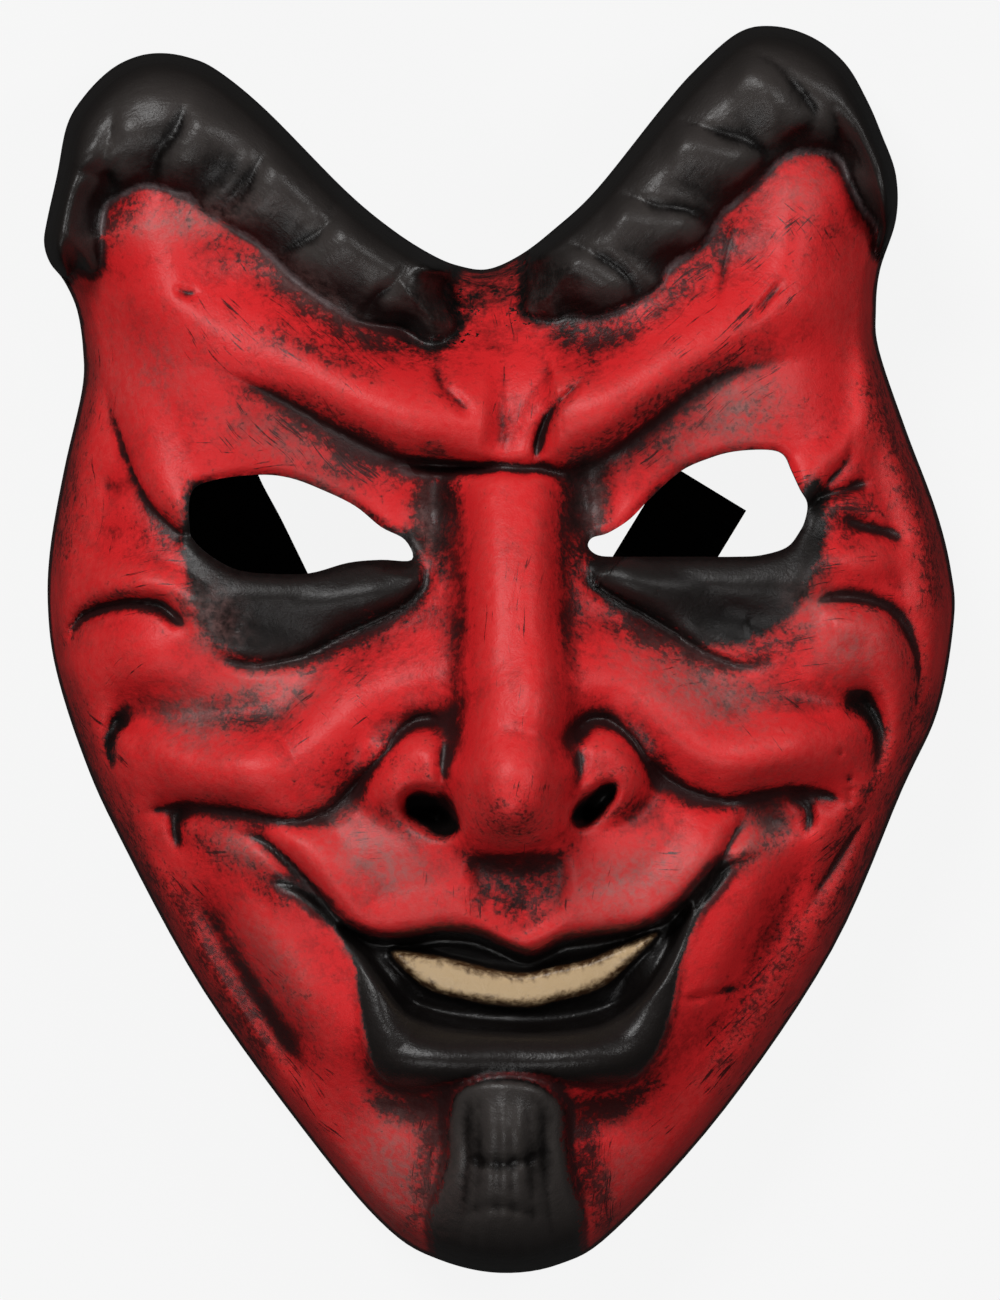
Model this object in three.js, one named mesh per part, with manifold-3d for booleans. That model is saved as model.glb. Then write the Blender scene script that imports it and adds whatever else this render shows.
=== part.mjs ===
// A full-face carnival devil mask, moulded in papier-mache, lying face up on its rim.
// Millimetres. +X is the viewer's right, +Y runs towards the horns and +Z out of the face.
// The origin is under the middle of the mask, at the height of its rim.
import * as THREE from "three";
import { mergeVertices } from "three/addons/utils/BufferGeometryUtils.js";
import Module from "manifold-3d";

const wasm = await Module();
wasm.setup();

// Driving dimensions of the moulding.
const wall = 3;
const faceHeight = 53;
const hornRise = 0.34;
const hornRoundness = 1.25;
const hornStep = 0.8;
const hornLean = 0.7;
const hornEdge = 2;
const eyeHeight = 45;
const viewDistance = 1800;
const planCentre = [0, -10];
const endDrop = { from: -5, over: 115, height: 7, power: 2.4 };
const sideDrop = { cheek: 24, jaw: 22 };
const sideSlope = { cheek: 34, jaw: 34, chin: 24, horn: 22 };
const shoulder = { face: 4.5, horn: 3.4, power: 2.2 };

// Where the plan passes from one zone into the next, as a height in the plan and a length.
const hornZone = { start: 60, length: 16, lean: 0.06 };
const jawZone = { start: -20, length: 40 };
const chinZone = { start: -96, length: 24 };

// How finely the moulding is faceted, counted in rings from the middle to the rim.
const outerRings = 26;
const innerRings = 18;
const rimFractions = [0.957, 0.981, 0.994, 0.9986, 1];
const fieldCell = 1.2;
const facetReach = 1.1;
const foldSpan = 4.4;

// The two ties.
const tieWidth = 18;
const tieThickness = 0.8;
const tieStations = 34;
const tieRest = 0.7;
const tieTilt = 84;

// Plan of the rim, anticlockwise from the dip between the horns.
const rimPlan = [
  [-2.4, 76.2], [-8, 76.8], [-13.5, 79], [-21.4, 84], [-31, 92], [-46.8, 108], [-56.6, 116],
  [-62.5, 118.6], [-68, 119.4], [-73, 118.6], [-78, 116], [-83, 111], [-86.6, 105], [-88.6, 95],
  [-90.6, 86], [-91.2, 81.4], [-90, 77.4], [-87.2, 73.8], [-84.6, 68], [-83.4, 60], [-83.6, 52],
  [-87.2, 36], [-90, 20], [-90.4, 8], [-88.8, -4], [-83.8, -20], [-76.8, -36], [-59.4, -68],
  [-36.2, -100], [-22.2, -116], [-12, -122], [0, -124.6], [12, -122.8], [23, -116], [44.8, -92],
  [66.4, -60], [80.4, -28], [87.6, -12], [90.8, 6], [90.2, 16], [87.2, 28], [81.2, 44], [75.8, 60],
  [75.2, 68], [76, 76], [79.2, 86], [79.2, 95], [76.4, 103], [73.4, 110], [69, 117.4], [62.4, 122.6],
  [54.6, 124.8], [47.5, 123.4], [39, 116], [32, 108], [19.2, 92], [10.6, 84], [4, 79],
];

// Plans of the two eye openings.
const leftEyePlan = [
  [-62, 25], [-61.5, 31.5], [-57.5, 33.8], [-48.5, 35], [-35.5, 32], [-23.8, 24.6], [-19, 22],
  [-17.6, 18], [-23.8, 18], [-30.3, 17.4], [-38, 15.3], [-46, 15.2], [-52.4, 16], [-57.6, 18.7],
];
const rightEyePlan = [
  [17.6, 20.6], [18.4, 22.4], [26, 26.2], [30.4, 30.7], [36.2, 35.8], [42, 38.4], [53.4, 40],
  [56.6, 39], [59.8, 32.2], [61.4, 29.4], [59.8, 23.6], [57.2, 20.5], [52, 18.9], [40, 18.6],
  [24, 18.6],
];

// Plans of the open mouth, the row of teeth and the beard.
const mouthPlan = [
  [-31, -55.4], [-25.6, -57.4], [-20, -57.8], [-12, -56.6], [-5, -57], [0, -59], [4, -61], [6, -61.2],
  [9, -60], [12.4, -58.2], [20, -57.2], [28, -55.8], [34.4, -52], [37, -51.6], [34.6, -60], [30, -67.6],
  [22, -73], [12, -75.6], [0, -76], [-14, -73.6], [-21, -69.6], [-27, -61],
];
const teethPlan = [
  [-21.6, -60.4], [-15.2, -60.8], [-8, -62.2], [-1, -64], [5.2, -64.6], [10.8, -63.4], [18, -61.8],
  [23.6, -59.4], [31.4, -56.6], [26.4, -62.2], [21.6, -66.6], [17, -68.8], [11.2, -70.2], [6.2, -71.4],
  [-1, -71], [-7.6, -69.8], [-13.8, -68], [-18.4, -64.6],
];
const beardPlan = [
  [-8.8, -89], [-4.8, -86.4], [1, -85.6], [6.6, -86.4], [10.6, -89], [12.8, -92.4], [13, -99.2],
  [14.2, -106.7], [16, -113], [16.2, -120], [16.4, -128], [-13.4, -128], [-12.9, -121], [-14, -114.6],
  [-12.1, -108], [-10.3, -101.7], [-10.3, -94.3],
];

// Plans of the horns where they lie on the face; outside the rim they run on freely.
const leftHornPlan = [
  [-85.8, 74.8], [-84.8, 76.4], [-83, 75.6], [-81.6, 75.2], [-80.4, 76.4], [-79.8, 80], [-79.8, 84.6],
  [-78.6, 89.2], [-74, 92], [-70.4, 93], [-66.2, 92.2], [-61.8, 90.6], [-59.8, 87.8], [-55.4, 85.6],
  [-48, 81], [-38.8, 72.6], [-29, 66.2], [-24, 65.2], [-19.6, 64.4], [-14.8, 61.4], [-10.8, 61.8],
  [-8.4, 65], [-9.6, 69], [-11, 73], [-8, 80], [0, 130], [-60, 170], [-130, 130], [-130, 60], [-96, 64],
  [-90, 70],
];
const rightHornPlan = [
  [4.8, 69.4], [5.8, 67], [10.8, 66], [13.8, 67], [20.2, 67], [26.6, 69.2], [31.8, 72.4], [34.2, 77],
  [40.6, 81.4], [45, 87.8], [50.2, 92.2], [56, 98], [59.8, 99.8], [64.8, 99.8], [68, 98], [70, 93.4],
  [72.6, 88.4], [75.4, 84.6], [76.4, 78.2], [90, 76], [130, 90], [110, 150], [50, 170], [-4, 130],
  [4, 84], [5, 74],
];

// A number kept between 0 and 1, and the same eased at both ends.
const clamp01 = (value) => Math.min(Math.max(value, 0), 1);
const ease = (value) => clamp01(value) ** 2 * (3 - 2 * clamp01(value));

// The value for one point of a path, where values may be one for all points or one for each.
const column = (value, i) => (Array.isArray(value) ? value[i] : value);

// A smooth curve through rows of numbers, every column carried along alike.
function smoothCurve(rows, stepsPerSpan, closed = false) {
  const count = rows.length;
  const row = (index) => {
    if (closed) return rows[(index + count) % count];
    return rows[Math.min(Math.max(index, 0), count - 1)];
  };
  const curve = [];
  for (let span = 0; span < (closed ? count : count - 1); span++) {
    const [before, from, to, after] = [row(span - 1), row(span), row(span + 1), row(span + 2)];
    for (let step = 0; step < stepsPerSpan; step++) {
      const t = step / stepsPerSpan;
      curve.push(from.map((value, k) => 0.5 * (2 * value + (to[k] - before[k]) * t
        + (2 * before[k] - 5 * value + 4 * to[k] - after[k]) * t ** 2
        + (3 * value - before[k] - 3 * to[k] + after[k]) * t ** 3)));
    }
  }
  if (!closed) curve.push(rows[count - 1]);
  return curve;
}

// The same curve as evenly spaced stations at the middles of equal lengths.
function evenStations(curve, count) {
  const reach = [0];
  for (let i = 1; i < curve.length; i++) {
    reach.push(reach[i - 1] + Math.hypot(curve[i][0] - curve[i - 1][0], curve[i][1] - curve[i - 1][1]));
  }
  const length = reach[reach.length - 1];
  const stations = [];
  let at = 1;
  for (let i = 0; i < count; i++) {
    const want = ((i + 0.5) / count) * length;
    while (at < curve.length - 1 && reach[at] < want) at++;
    const t = (want - reach[at - 1]) / (reach[at] - reach[at - 1]);
    stations.push(curve[at].map((value, k) => curve[at - 1][k] + (value - curve[at - 1][k]) * t));
  }
  return { stations, length };
}

// Distance from a point to a closed outline, positive inside it.
function signedDistance(outline, x, y) {
  let nearest = Infinity;
  let inside = false;
  for (let i = 0; i < outline.length; i++) {
    const [ax, ay] = outline[i];
    const [bx, by] = outline[(i + 1) % outline.length];
    const [ux, uy] = [bx - ax, by - ay];
    const t = clamp01(((x - ax) * ux + (y - ay) * uy) / (ux * ux + uy * uy));
    nearest = Math.min(nearest, Math.hypot(x - ax - t * ux, y - ay - t * uy));
    if (ay > y !== by > y && x < (ux * (y - ay)) / uy + ax) inside = !inside;
  }
  return inside ? nearest : -nearest;
}

// One stroke of relief along a curve: a roll, or a groove where its height is negative. Left and
// right are its half widths on the two sides of the way it runs, and square flattens its top.
// Heights and half widths may change from point to point.
function stroke({ path, height, left, right = left, square = 2, fade = [0.2, 0.2] }) {
  const rows = path.map((point, i) => [
    point[0], point[1], column(height, i), column(left, i), column(right, i),
  ]);
  const curve = smoothCurve(rows, 12);
  const narrowest = Math.min(...rows.map((row) => Math.min(row[3], row[4])));
  const widest = Math.max(...rows.map((row) => Math.max(row[3], row[4])));
  const { length } = evenStations(curve, 2);
  const count = Math.max(4, Math.ceil(length / Math.max(0.3 * narrowest, length / 90)));
  const { stations } = evenStations(curve, count);
  const spacing = length / count;
  const samples = stations.map((station, i) => {
    const next = stations[Math.min(i + 1, count - 1)];
    const last = stations[Math.max(i - 1, 0)];
    const run = Math.hypot(next[0] - last[0], next[1] - last[1]);
    const along = (i + 0.5) / count;
    const start = fade[0] > 0 ? ease(along / fade[0]) : 1;
    const end = fade[1] > 0 ? ease((1 - along) / fade[1]) : 1;
    const [x, y, top, leftHalf, rightHalf] = station;
    const blur = 0.6 * Math.min(leftHalf, rightHalf);
    return {
      x, y, leftHalf, rightHalf, blur,
      top: top * start * end,
      dirX: (next[0] - last[0]) / run,
      dirY: (next[1] - last[1]) / run,
    };
  });
  const reach = 2.7 * widest + 1;
  const low = [0, 1].map((k) => Math.min(...stations.map((station) => station[k])) - reach);
  const high = [0, 1].map((k) => Math.max(...stations.map((station) => station[k])) + reach);
  return (x, y) => {
    if (x < low[0] || x > high[0] || y < low[1] || y > high[1]) return 0;
    const sum = { weight: 0, top: 0, half: 0, blur: 0 };
    for (const sample of samples) {
      const [dx, dy] = [x - sample.x, y - sample.y];
      const near = Math.exp(-(dx * dx + dy * dy) / sample.blur ** 2);
      const weight = (near * spacing) / (sample.blur * Math.sqrt(Math.PI));
      const side = (sample.dirX * dy - sample.dirY * dx) / (0.6 * (sample.leftHalf + sample.rightHalf));
      sum.weight += weight;
      sum.top += weight * sample.top;
      sum.half += weight * (sample.rightHalf + (sample.leftHalf - sample.rightHalf) * ease(side + 0.5));
      sum.blur += weight * sample.blur;
    }
    if (sum.weight < 1e-280) return 0;
    const blur = sum.blur / sum.weight;
    const half = sum.half / sum.weight;
    const squared = Math.max(-blur * blur * Math.log(Math.min(sum.weight, 1)), 0);
    return (sum.top / sum.weight) * Math.exp(-((squared / half ** 2) ** (square / 2)));
  };
}

// A round or oval swelling, or a hollow where its height is negative. Turn is in degrees.
function mound({ centre, radii, height, turn = 0, square = 2 }) {
  const cos = Math.cos(THREE.MathUtils.degToRad(turn));
  const sin = Math.sin(THREE.MathUtils.degToRad(turn));
  return (x, y) => {
    const [dx, dy] = [x - centre[0], y - centre[1]];
    const u = (dx * cos + dy * sin) / radii[0];
    const v = (dy * cos - dx * sin) / radii[1];
    return height * Math.exp(-((u * u + v * v) ** (square / 2)));
  };
}

// A raised or sunk field inside an outline, its edge as wide as given.
function panel({ plan, height, edge }) {
  const outline = smoothCurve(plan, 4, true);
  return (x, y) => height * ease(signedDistance(outline, x, y) / edge + 0.5);
}

// A fold whose lip, on the left of the way its path runs, rolls down over what lies to the right.
// The lip is highest a roll away from its edge and sinks back over the reach; the other side dips
// by the tuck. The lip's climb is kept at least as wide as the facets that have to show it.
function fold({ path, height, roll, reach, tuck = 0, tuckReach = 4, fade = [0.15, 0.15] }) {
  const curve = smoothCurve(path.map((point, i) => [...point, column(height, i)]), 6);
  const starts = [0];
  for (let i = 1; i < curve.length; i++) {
    starts.push(starts[i - 1] + Math.hypot(curve[i][0] - curve[i - 1][0], curve[i][1] - curve[i - 1][1]));
  }
  const length = starts[starts.length - 1];
  const climbWidth = Math.max(roll, foldSpan);
  const far = climbWidth + reach + tuckReach;
  const low = [0, 1].map((k) => Math.min(...curve.map((point) => point[k])) - far);
  const high = [0, 1].map((k) => Math.max(...curve.map((point) => point[k])) + far);
  return (x, y) => {
    if (x < low[0] || x > high[0] || y < low[1] || y > high[1]) return 0;
    let nearest = Infinity;
    let [along, side, top] = [0, 1, 0];
    for (let i = 1; i < curve.length; i++) {
      const [ax, ay, startTop] = curve[i - 1];
      const [bx, by, endTop] = curve[i];
      const step = starts[i] - starts[i - 1];
      const [ux, uy] = [(bx - ax) / step, (by - ay) / step];
      const t = Math.min(Math.max((x - ax) * ux + (y - ay) * uy, 0), step);
      const away = Math.hypot(x - ax - t * ux, y - ay - t * uy);
      if (away >= nearest) continue;
      nearest = away;
      along = starts[i - 1] + t;
      side = Math.sign(ux * (y - ay) - uy * (x - ax));
      top = startTop + ((endTop - startTop) * t) / step;
    }
    const beside = side * nearest;
    const share = along / length;
    const kept = ease(share / fade[0]) * ease((1 - share) / fade[1]);
    const climb = ease(beside / climbWidth + 0.3);
    const sink = 1 - ease((beside - climbWidth) / reach);
    const dip = tuck * (1 - ease(-beside / tuckReach));
    return kept * (climb * (top * sink + dip) - dip);
  };
}

// Forehead, brows and the frown between them.
const foreheadRelief = [
  mound({ centre: [-66, 56], radii: [16, 20], height: 4 }),
  mound({ centre: [64, 62], radii: [15, 24], height: 4.5 }),
  mound({ centre: [3, 56], radii: [15, 14], height: 2.5 }),
  stroke({
    path: [[-70, 78], [-60, 76], [-47, 75], [-34, 69], [-21, 63], [-10, 57]],
    height: [-1, -2, -2.6, -3, -3, -2], left: 6.5, fade: [0.2, 0.15],
  }),
  stroke({
    path: [[10, 57], [20, 60], [31, 65.6], [42, 74], [51, 83], [58, 91]],
    height: [-2, -3, -3, -3, -2.6, -2], left: 7, fade: [0.15, 0.25],
  }),
  stroke({
    path: [[-68, 63], [-56, 61], [-44, 58], [-33, 53.6], [-21, 48.4], [-9, 43.6]],
    height: [1.6, 2.8, 3.6, 4.2, 4.8, 4.6], left: 15, right: 9, square: 2.2, fade: [0.25, 0.06],
  }),
  stroke({
    path: [[12, 43.6], [22, 49], [32, 56.4], [42, 63.6], [50, 69], [58, 74]],
    height: [4.6, 4.8, 4.6, 4, 3.2, 2], left: 15, right: 9, square: 2.2, fade: [0.06, 0.25],
  }),
  fold({
    path: [[-66, 59], [-56, 56], [-43, 50], [-31, 43.4], [-19, 38.2], [-8, 37], [1, 36.6]],
    height: [1, 2, 3.6, 5, 5.4, 5, 4], roll: 8, reach: 19, tuck: 1.6, tuckReach: 6, fade: [0.4, 0.08],
  }),
  fold({
    path: [[7, 36], [15, 36.2], [22.6, 40], [31, 46.2], [38.6, 52], [46, 55.8], [56, 58], [66, 59]],
    height: [4, 5, 5.4, 5.4, 5, 3.6, 2, 1], roll: 8, reach: 19, tuck: 1.6, tuckReach: 6,
    fade: [0.08, 0.4],
  }),
  fold({
    path: [[6.4, 37.4], [7.4, 42], [9, 46], [11.4, 49.6], [14.4, 52.4], [18, 56]],
    height: 1, roll: 2, reach: 4, tuck: 1.2, tuckReach: 2.4, fade: [0.1, 0.3],
  }),
];

// Sockets, lower lids and the bags below them.
const eyeRelief = [
  mound({ centre: [-34, 30], radii: [20, 12], height: -4, turn: -12, square: 2.4 }),
  mound({ centre: [38, 34], radii: [20, 12], height: -4, turn: 16, square: 2.4 }),
  mound({ centre: [-13, 28], radii: [5.4, 10], height: -6 }),
  mound({ centre: [17.6, 29], radii: [5.4, 10], height: -6 }),
  mound({ centre: [-40, 11], radii: [18, 7], height: 2.6, turn: 6, square: 2.6 }),
  mound({ centre: [42, 13], radii: [18, 7], height: 2.6, turn: -4, square: 2.6 }),
  mound({ centre: [-36, 4], radii: [14, 4], height: -2.6, turn: 14 }),
  mound({ centre: [38, 7], radii: [13, 4], height: -2.6, turn: -12 }),
  mound({ centre: [-58.4, 7], radii: [4.4, 7], height: 2.6, turn: 20 }),
  mound({ centre: [61, 14], radii: [4.4, 7], height: 2.4, turn: -20 }),
  fold({
    path: [[-60, 3], [-55, -1.4], [-48, -2.6], [-38.8, -0.6], [-30.7, 3.6], [-24.5, 6.4], [-18.4, 9.8],
      [-15.4, 14], [-15.6, 19]],
    height: [1, 2, 2.6, 2.6, 2.8, 3, 3, 2.6, 2], roll: 3.6, reach: 8, tuck: 1.2, tuckReach: 3.4,
    fade: [0.2, 0.1],
  }),
  fold({
    path: [[17.6, 18], [19, 13.6], [24.4, 10], [30.6, 6.4], [36.8, 2.4], [42, -0.8], [50, -3], [58, 0]],
    height: [2, 2.6, 3, 3, 2.8, 2.4, 1.6, 1], roll: 3.6, reach: 8, tuck: 1.2, tuckReach: 3.4,
    fade: [0.1, 0.3],
  }),
];

// The long flat-topped nose with its ball, wings and nostrils.
const noseRelief = [
  stroke({
    path: [[2.6, 34], [2.4, 20], [2.6, 0], [2.6, -14], [2.6, -23], [2.4, -30.6]],
    height: [5, 8, 10, 12, 13.6, 13.6], left: [8.8, 8.6, 9, 9.8, 11.2, 12], square: 4, fade: [0.03, 0],
  }),
  stroke({
    path: [[3, 30], [3.4, 16], [3.4, 0], [3.4, -14], [3, -26]],
    height: [2, 6, 9, 13, 13], left: [13, 15, 17, 19, 16], square: 2.2, fade: [0.1, 0],
  }),
  mound({ centre: [2.4, -29], radii: [11.4, 10.6], height: 5, square: 3.4 }),
  mound({ centre: [-18, -24.4], radii: [9.4, 8.4], height: 8.6, turn: 20, square: 4 }),
  mound({ centre: [21.6, -24], radii: [8, 8.6], height: 8.6, turn: -20, square: 4 }),
  stroke({
    path: [[-18, -30.6], [-14.4, -31.6], [-10, -35]],
    height: -11, left: [3, 3.4, 2.6], square: 3, fade: [0.1, 0.1],
  }),
  stroke({
    path: [[15.6, -34], [19.4, -30.4], [22.4, -27.6]],
    height: -10, left: [1.9, 2.3, 1.7], square: 3, fade: [0.1, 0.1],
  }),
];

// Cheeks that roll over the smile lines.
const cheekRelief = [
  fold({
    path: [[-73, -33.4], [-68, -31.4], [-61.3, -31], [-53.2, -31.8], [-46, -33.4], [-40, -33.8],
      [-34.8, -32], [-30.7, -28.4], [-26.6, -24.2], [-23, -20.2], [-20.2, -16.4], [-16.6, -13.6],
      [-13.4, -13.4], [-10.6, -15.4]],
    height: [1, 2.4, 4, 5, 5.4, 5.4, 5.4, 5.4, 5.2, 5, 4.4, 4, 3, 2],
    roll: 7, reach: 14, tuck: 1.6, tuckReach: 5, fade: [0.08, 0.06],
  }),
  fold({
    path: [[14.4, -19], [15.4, -16], [18, -13.6], [21.4, -13.6], [24.8, -16], [27.6, -18.9],
      [29.8, -22.2], [33.7, -25.7], [38.8, -28.3], [45, -29.8], [51, -28.9], [57.2, -27.8],
      [63.4, -28.2], [71, -30.8]],
    height: [2, 3, 4, 4.4, 5, 5.2, 5.4, 5.4, 5.4, 5.4, 5.2, 4.6, 3.4, 1.4],
    roll: 7, reach: 14, tuck: 1.6, tuckReach: 5, fade: [0.06, 0.08],
  }),
  stroke({
    path: [[-74, -19], [-64, -25], [-52, -24], [-41, -18.6], [-30, -9], [-18, -1]],
    height: [2, 3, 4, 4, 3.6, 2], left: 6, right: 7, square: 2.4, fade: [0.2, 0.3],
  }),
  stroke({
    path: [[18, -1], [26, -5], [35, -14], [46, -20], [58, -20], [68, -18]],
    height: [1, 2, 3, 3.6, 3.4, 2], left: 7, right: 6, square: 2.4, fade: [0.3, 0.2],
  }),
  stroke({
    path: [[-84, -10], [-75, -11.6], [-65, -13], [-55, -11.6], [-44, -7.6]],
    height: -3.6, left: 3.6, fade: [0.1, 0.4],
  }),
  stroke({
    path: [[44, -6], [54, -9], [63, -10.6], [70, -11]],
    height: -2, left: 3.4, fade: [0.4, 0.1],
  }),
];

// Muzzle, lips, jaw and chin.
const muzzleRelief = [
  mound({ centre: [3, -43], radii: [32, 14], height: 7, square: 2.6 }),
  mound({ centre: [-30, -40], radii: [10, 7], height: 1.6, turn: -30 }),
  mound({ centre: [32, -38], radii: [10, 7], height: 1.6, turn: 30 }),
  panel({
    plan: [[-4, -41], [11.6, -41], [13, -50], [10, -54.6], [3, -57.6], [-3, -54.6], [-5.6, -50]],
    height: -1.8, edge: 4,
  }),
  fold({
    path: [[-60, -37], [-54, -36], [-48, -37.4], [-42.9, -41.4], [-37.8, -46.7], [-33.2, -52.4],
      [-29, -56.2], [-23.4, -57.7], [-17, -57.2], [-10.2, -56.6], [-4, -57.8], [1, -59.8], [5.3, -60.9],
      [9.7, -59.9], [14.7, -58.1], [22, -57], [28, -56], [33.6, -53.8], [38, -49.4], [42.6, -44],
      [46.2, -37.8], [48.8, -32.4], [50.4, -29]],
    height: [0.6, 1.6, 2.8, 3.6, 3.6, 3.2, 2.8, 2.6, 2.4, 2.4, 2.4, 2.4, 2.4, 2.4, 2.4, 2.6, 2.8, 3.2,
      3.6, 3.6, 3, 2, 1],
    roll: 3.6, reach: 8, tuck: 1.6, tuckReach: 4, fade: [0.14, 0.1],
  }),
  mound({ centre: [-47.6, -41.4], radii: [5, 2.6], height: 1.6, turn: -28 }),
  mound({ centre: [54.6, -33.6], radii: [5.4, 4.4], height: -4 }),
  mound({ centre: [48, -40.6], radii: [4.4, 2.4], height: 1.4, turn: 40 }),
  stroke({
    path: [[-28.6, -60], [-26.6, -70], [-24, -77.6], [-19, -80.8], [-8, -81.4], [3, -81.2], [14, -81.6],
      [24, -80.8], [29.6, -77], [32.4, -69], [34, -60], [38, -53]],
    height: [2, 4, 6, 7, 6.2, 5.8, 6.2, 7, 6.6, 5, 3.4, 1.6],
    left: 4.4, square: 2.2, fade: [0.1, 0.1],
  }),
  stroke({
    path: [[-23.4, -64], [-20, -69.6], [-14, -73.6], [-4, -75.4], [7.2, -76], [17.2, -74.4],
      [25.4, -70], [30.6, -62]],
    height: [-2, -4, -4.6, -4.6, -4.6, -4.6, -4, -2], left: 3.4, fade: [0.15, 0.15],
  }),
  fold({
    path: [[-30.4, -60], [-28.6, -70], [-27.8, -78], [-25.2, -85], [-19, -87.6], [-10, -86.8],
      [0, -85.4], [8, -85.8], [19, -86.8], [27, -86], [32.8, -81], [35.2, -72], [36.6, -63], [39, -54]],
    height: [0.6, 1.6, 2.6, 3.4, 3.6, 3.4, 3.4, 3.4, 3.6, 3.4, 2.6, 2, 1.4, 0.6],
    roll: 3.4, reach: 4, tuck: 1.4, tuckReach: 7, fade: [0.12, 0.12],
  }),
  stroke({
    path: [[-61, -44], [-56, -56], [-49, -68], [-42, -79], [-34, -91]],
    height: [-2, -4.6, -6, -5.6, -2.6], left: [4, 4.4, 4.8, 4.4, 4], fade: [0.2, 0.3],
  }),
  stroke({
    path: [[-52, -46], [-46, -58], [-39, -70], [-34, -82], [-30, -94]],
    height: [1.6, 2.8, 3.4, 3, 1.8], left: 6, fade: [0.2, 0.3],
  }),
  stroke({
    path: [[66, -34], [60, -45], [52, -60], [44, -74], [36, -88]],
    height: [-2.4, -3.4, -3.4, -2.6, -1.6], left: 4.6, fade: [0.2, 0.3],
  }),
  stroke({ path: [[54, -42], [48, -54], [44, -66], [39, -80]], height: 2, left: 6, fade: [0.2, 0.3] }),
  mound({ centre: [1.6, -106], radii: [24, 16], height: 3 }),
  mound({ centre: [-17, -93], radii: [9, 5], height: -3 }),
  mound({ centre: [21, -93], radii: [9, 5], height: -3 }),
];

// Temples and the puffs and folds down the sides.
const sideRelief = [
  mound({ centre: [-76, 14], radii: [11, 5.4], height: 3.4, turn: 6, square: 2.6 }),
  fold({
    path: [[-86.6, -4.6], [-87, 1], [-84.4, 6.4], [-79.7, 9], [-73.6, 10], [-68.5, 9.5], [-65.4, 7.6],
      [-62, 4]],
    height: [0.6, 1, 1.6, 2, 2.4, 2.6, 2.4, 1.6], roll: 3, reach: 6, tuck: 3, tuckReach: 3.4,
    fade: [0.2, 0.12],
  }),
  mound({ centre: [-75, -1.6], radii: [11.4, 8], height: 4.4, turn: 8, square: 2.6 }),
  stroke({
    path: [[-74.4, -12.6], [-77.2, -15.6], [-78.5, -19.9], [-77.6, -25]],
    height: -4, left: 2, fade: [0.2, 0.4],
  }),
  mound({ centre: [-70, -20], radii: [7.6, 6.6], height: 3, square: 2.6 }),
  fold({
    path: [[-86.4, 0], [-84.6, -10], [-81.4, -20], [-76, -31], [-69, -44]],
    height: [1, 2, 2.6, 2.4, 1.6], roll: 3.4, reach: 6, tuck: 1.6, tuckReach: 3, fade: [0.25, 0.3],
  }),
  fold({
    path: [[-80, 62], [-79, 53], [-76, 43.3], [-73.7, 36.7], [-70.4, 30], [-66.4, 25.6], [-62, 22.4]],
    height: [0.6, 1.2, 1.8, 2.2, 2.4, 2.6, 2.4], roll: 4, reach: 8, tuck: 1.2, tuckReach: 5,
    fade: [0.3, 0.05],
  }),
  stroke({
    path: [[75, 66], [74, 56], [72.4, 46], [68, 34]],
    height: 3, left: 4, right: 3, fade: [0.3, 0.3],
  }),
  fold({
    path: [[84.6, -12], [87.8, 2], [88.2, 14], [86.6, 26], [83, 38], [78.4, 50], [75, 62]],
    height: [1, 2, 2.4, 2.4, 2.4, 2, 1], roll: 3, reach: 6, tuck: 1, tuckReach: 3, fade: [0.3, 0.2],
  }),
  fold({
    path: [[61.4, 27], [65, 33], [69.6, 39.4], [71, 48]],
    height: [2.6, 2.6, 2, 1], roll: 2.6, reach: 6, tuck: 1.6, tuckReach: 3.4, fade: [0.1, 0.4],
  }),
  mound({ centre: [73, 18], radii: [8, 4], height: 2.4, square: 2.6 }),
  fold({
    path: [[57, -58.4], [61.3, -51.6], [65.4, -44.4], [70.5, -36.6], [75.4, -31.2], [78.7, -26],
      [81.6, -18.9], [82.9, -11.7], [83.4, -4.6], [82, 1.6], [78.9, 6.8], [73.6, 9.4], [66.4, 9.9],
      [61, 8.6]],
    height: [0.6, 1.4, 2, 2.6, 3, 3.4, 3.4, 3.4, 3.4, 3.2, 3, 2.4, 2, 1.2],
    roll: 4, reach: 7, tuck: 2.2, tuckReach: 4, fade: [0.25, 0.08],
  }),
  mound({ centre: [70.6, 0.4], radii: [9.4, 7.4], height: 4, turn: -15, square: 2.6 }),
  stroke({
    path: [[67.4, -9.8], [72.4, -10.2], [75.4, -14.4], [76, -19.4], [75, -24], [73.4, -29.4]],
    height: [-3, -4.4, -4.4, -3.6, -3, -2], left: [2.2, 3, 2.6, 2.2, 2, 1.8], fade: [0.15, 0.3],
  }),
  mound({ centre: [64, -19], radii: [9, 6.6], height: 2.6, square: 2.6 }),
];

// The open mouth with its teeth, and the beard.
const mouthRelief = [
  panel({ plan: mouthPlan, height: -6, edge: 3.4 }),
  panel({ plan: teethPlan, height: 4, edge: 3 }),
  panel({ plan: beardPlan, height: 4, edge: 4 }),
  mound({ centre: [1.4, -93], radii: [8, 7], height: 2.4, square: 3 }),
  stroke({
    path: [[1.4, -92], [1, -102], [0.6, -112], [0.4, -124]],
    height: [2.4, 2.8, 3.4, 3], left: [5.4, 6, 7, 7.4], square: 3, fade: [0.1, 0],
  }),
];

const faceRelief = [
  ...foreheadRelief, ...eyeRelief, ...noseRelief, ...cheekRelief, ...muzzleRelief, ...sideRelief,
  ...mouthRelief,
];

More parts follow.
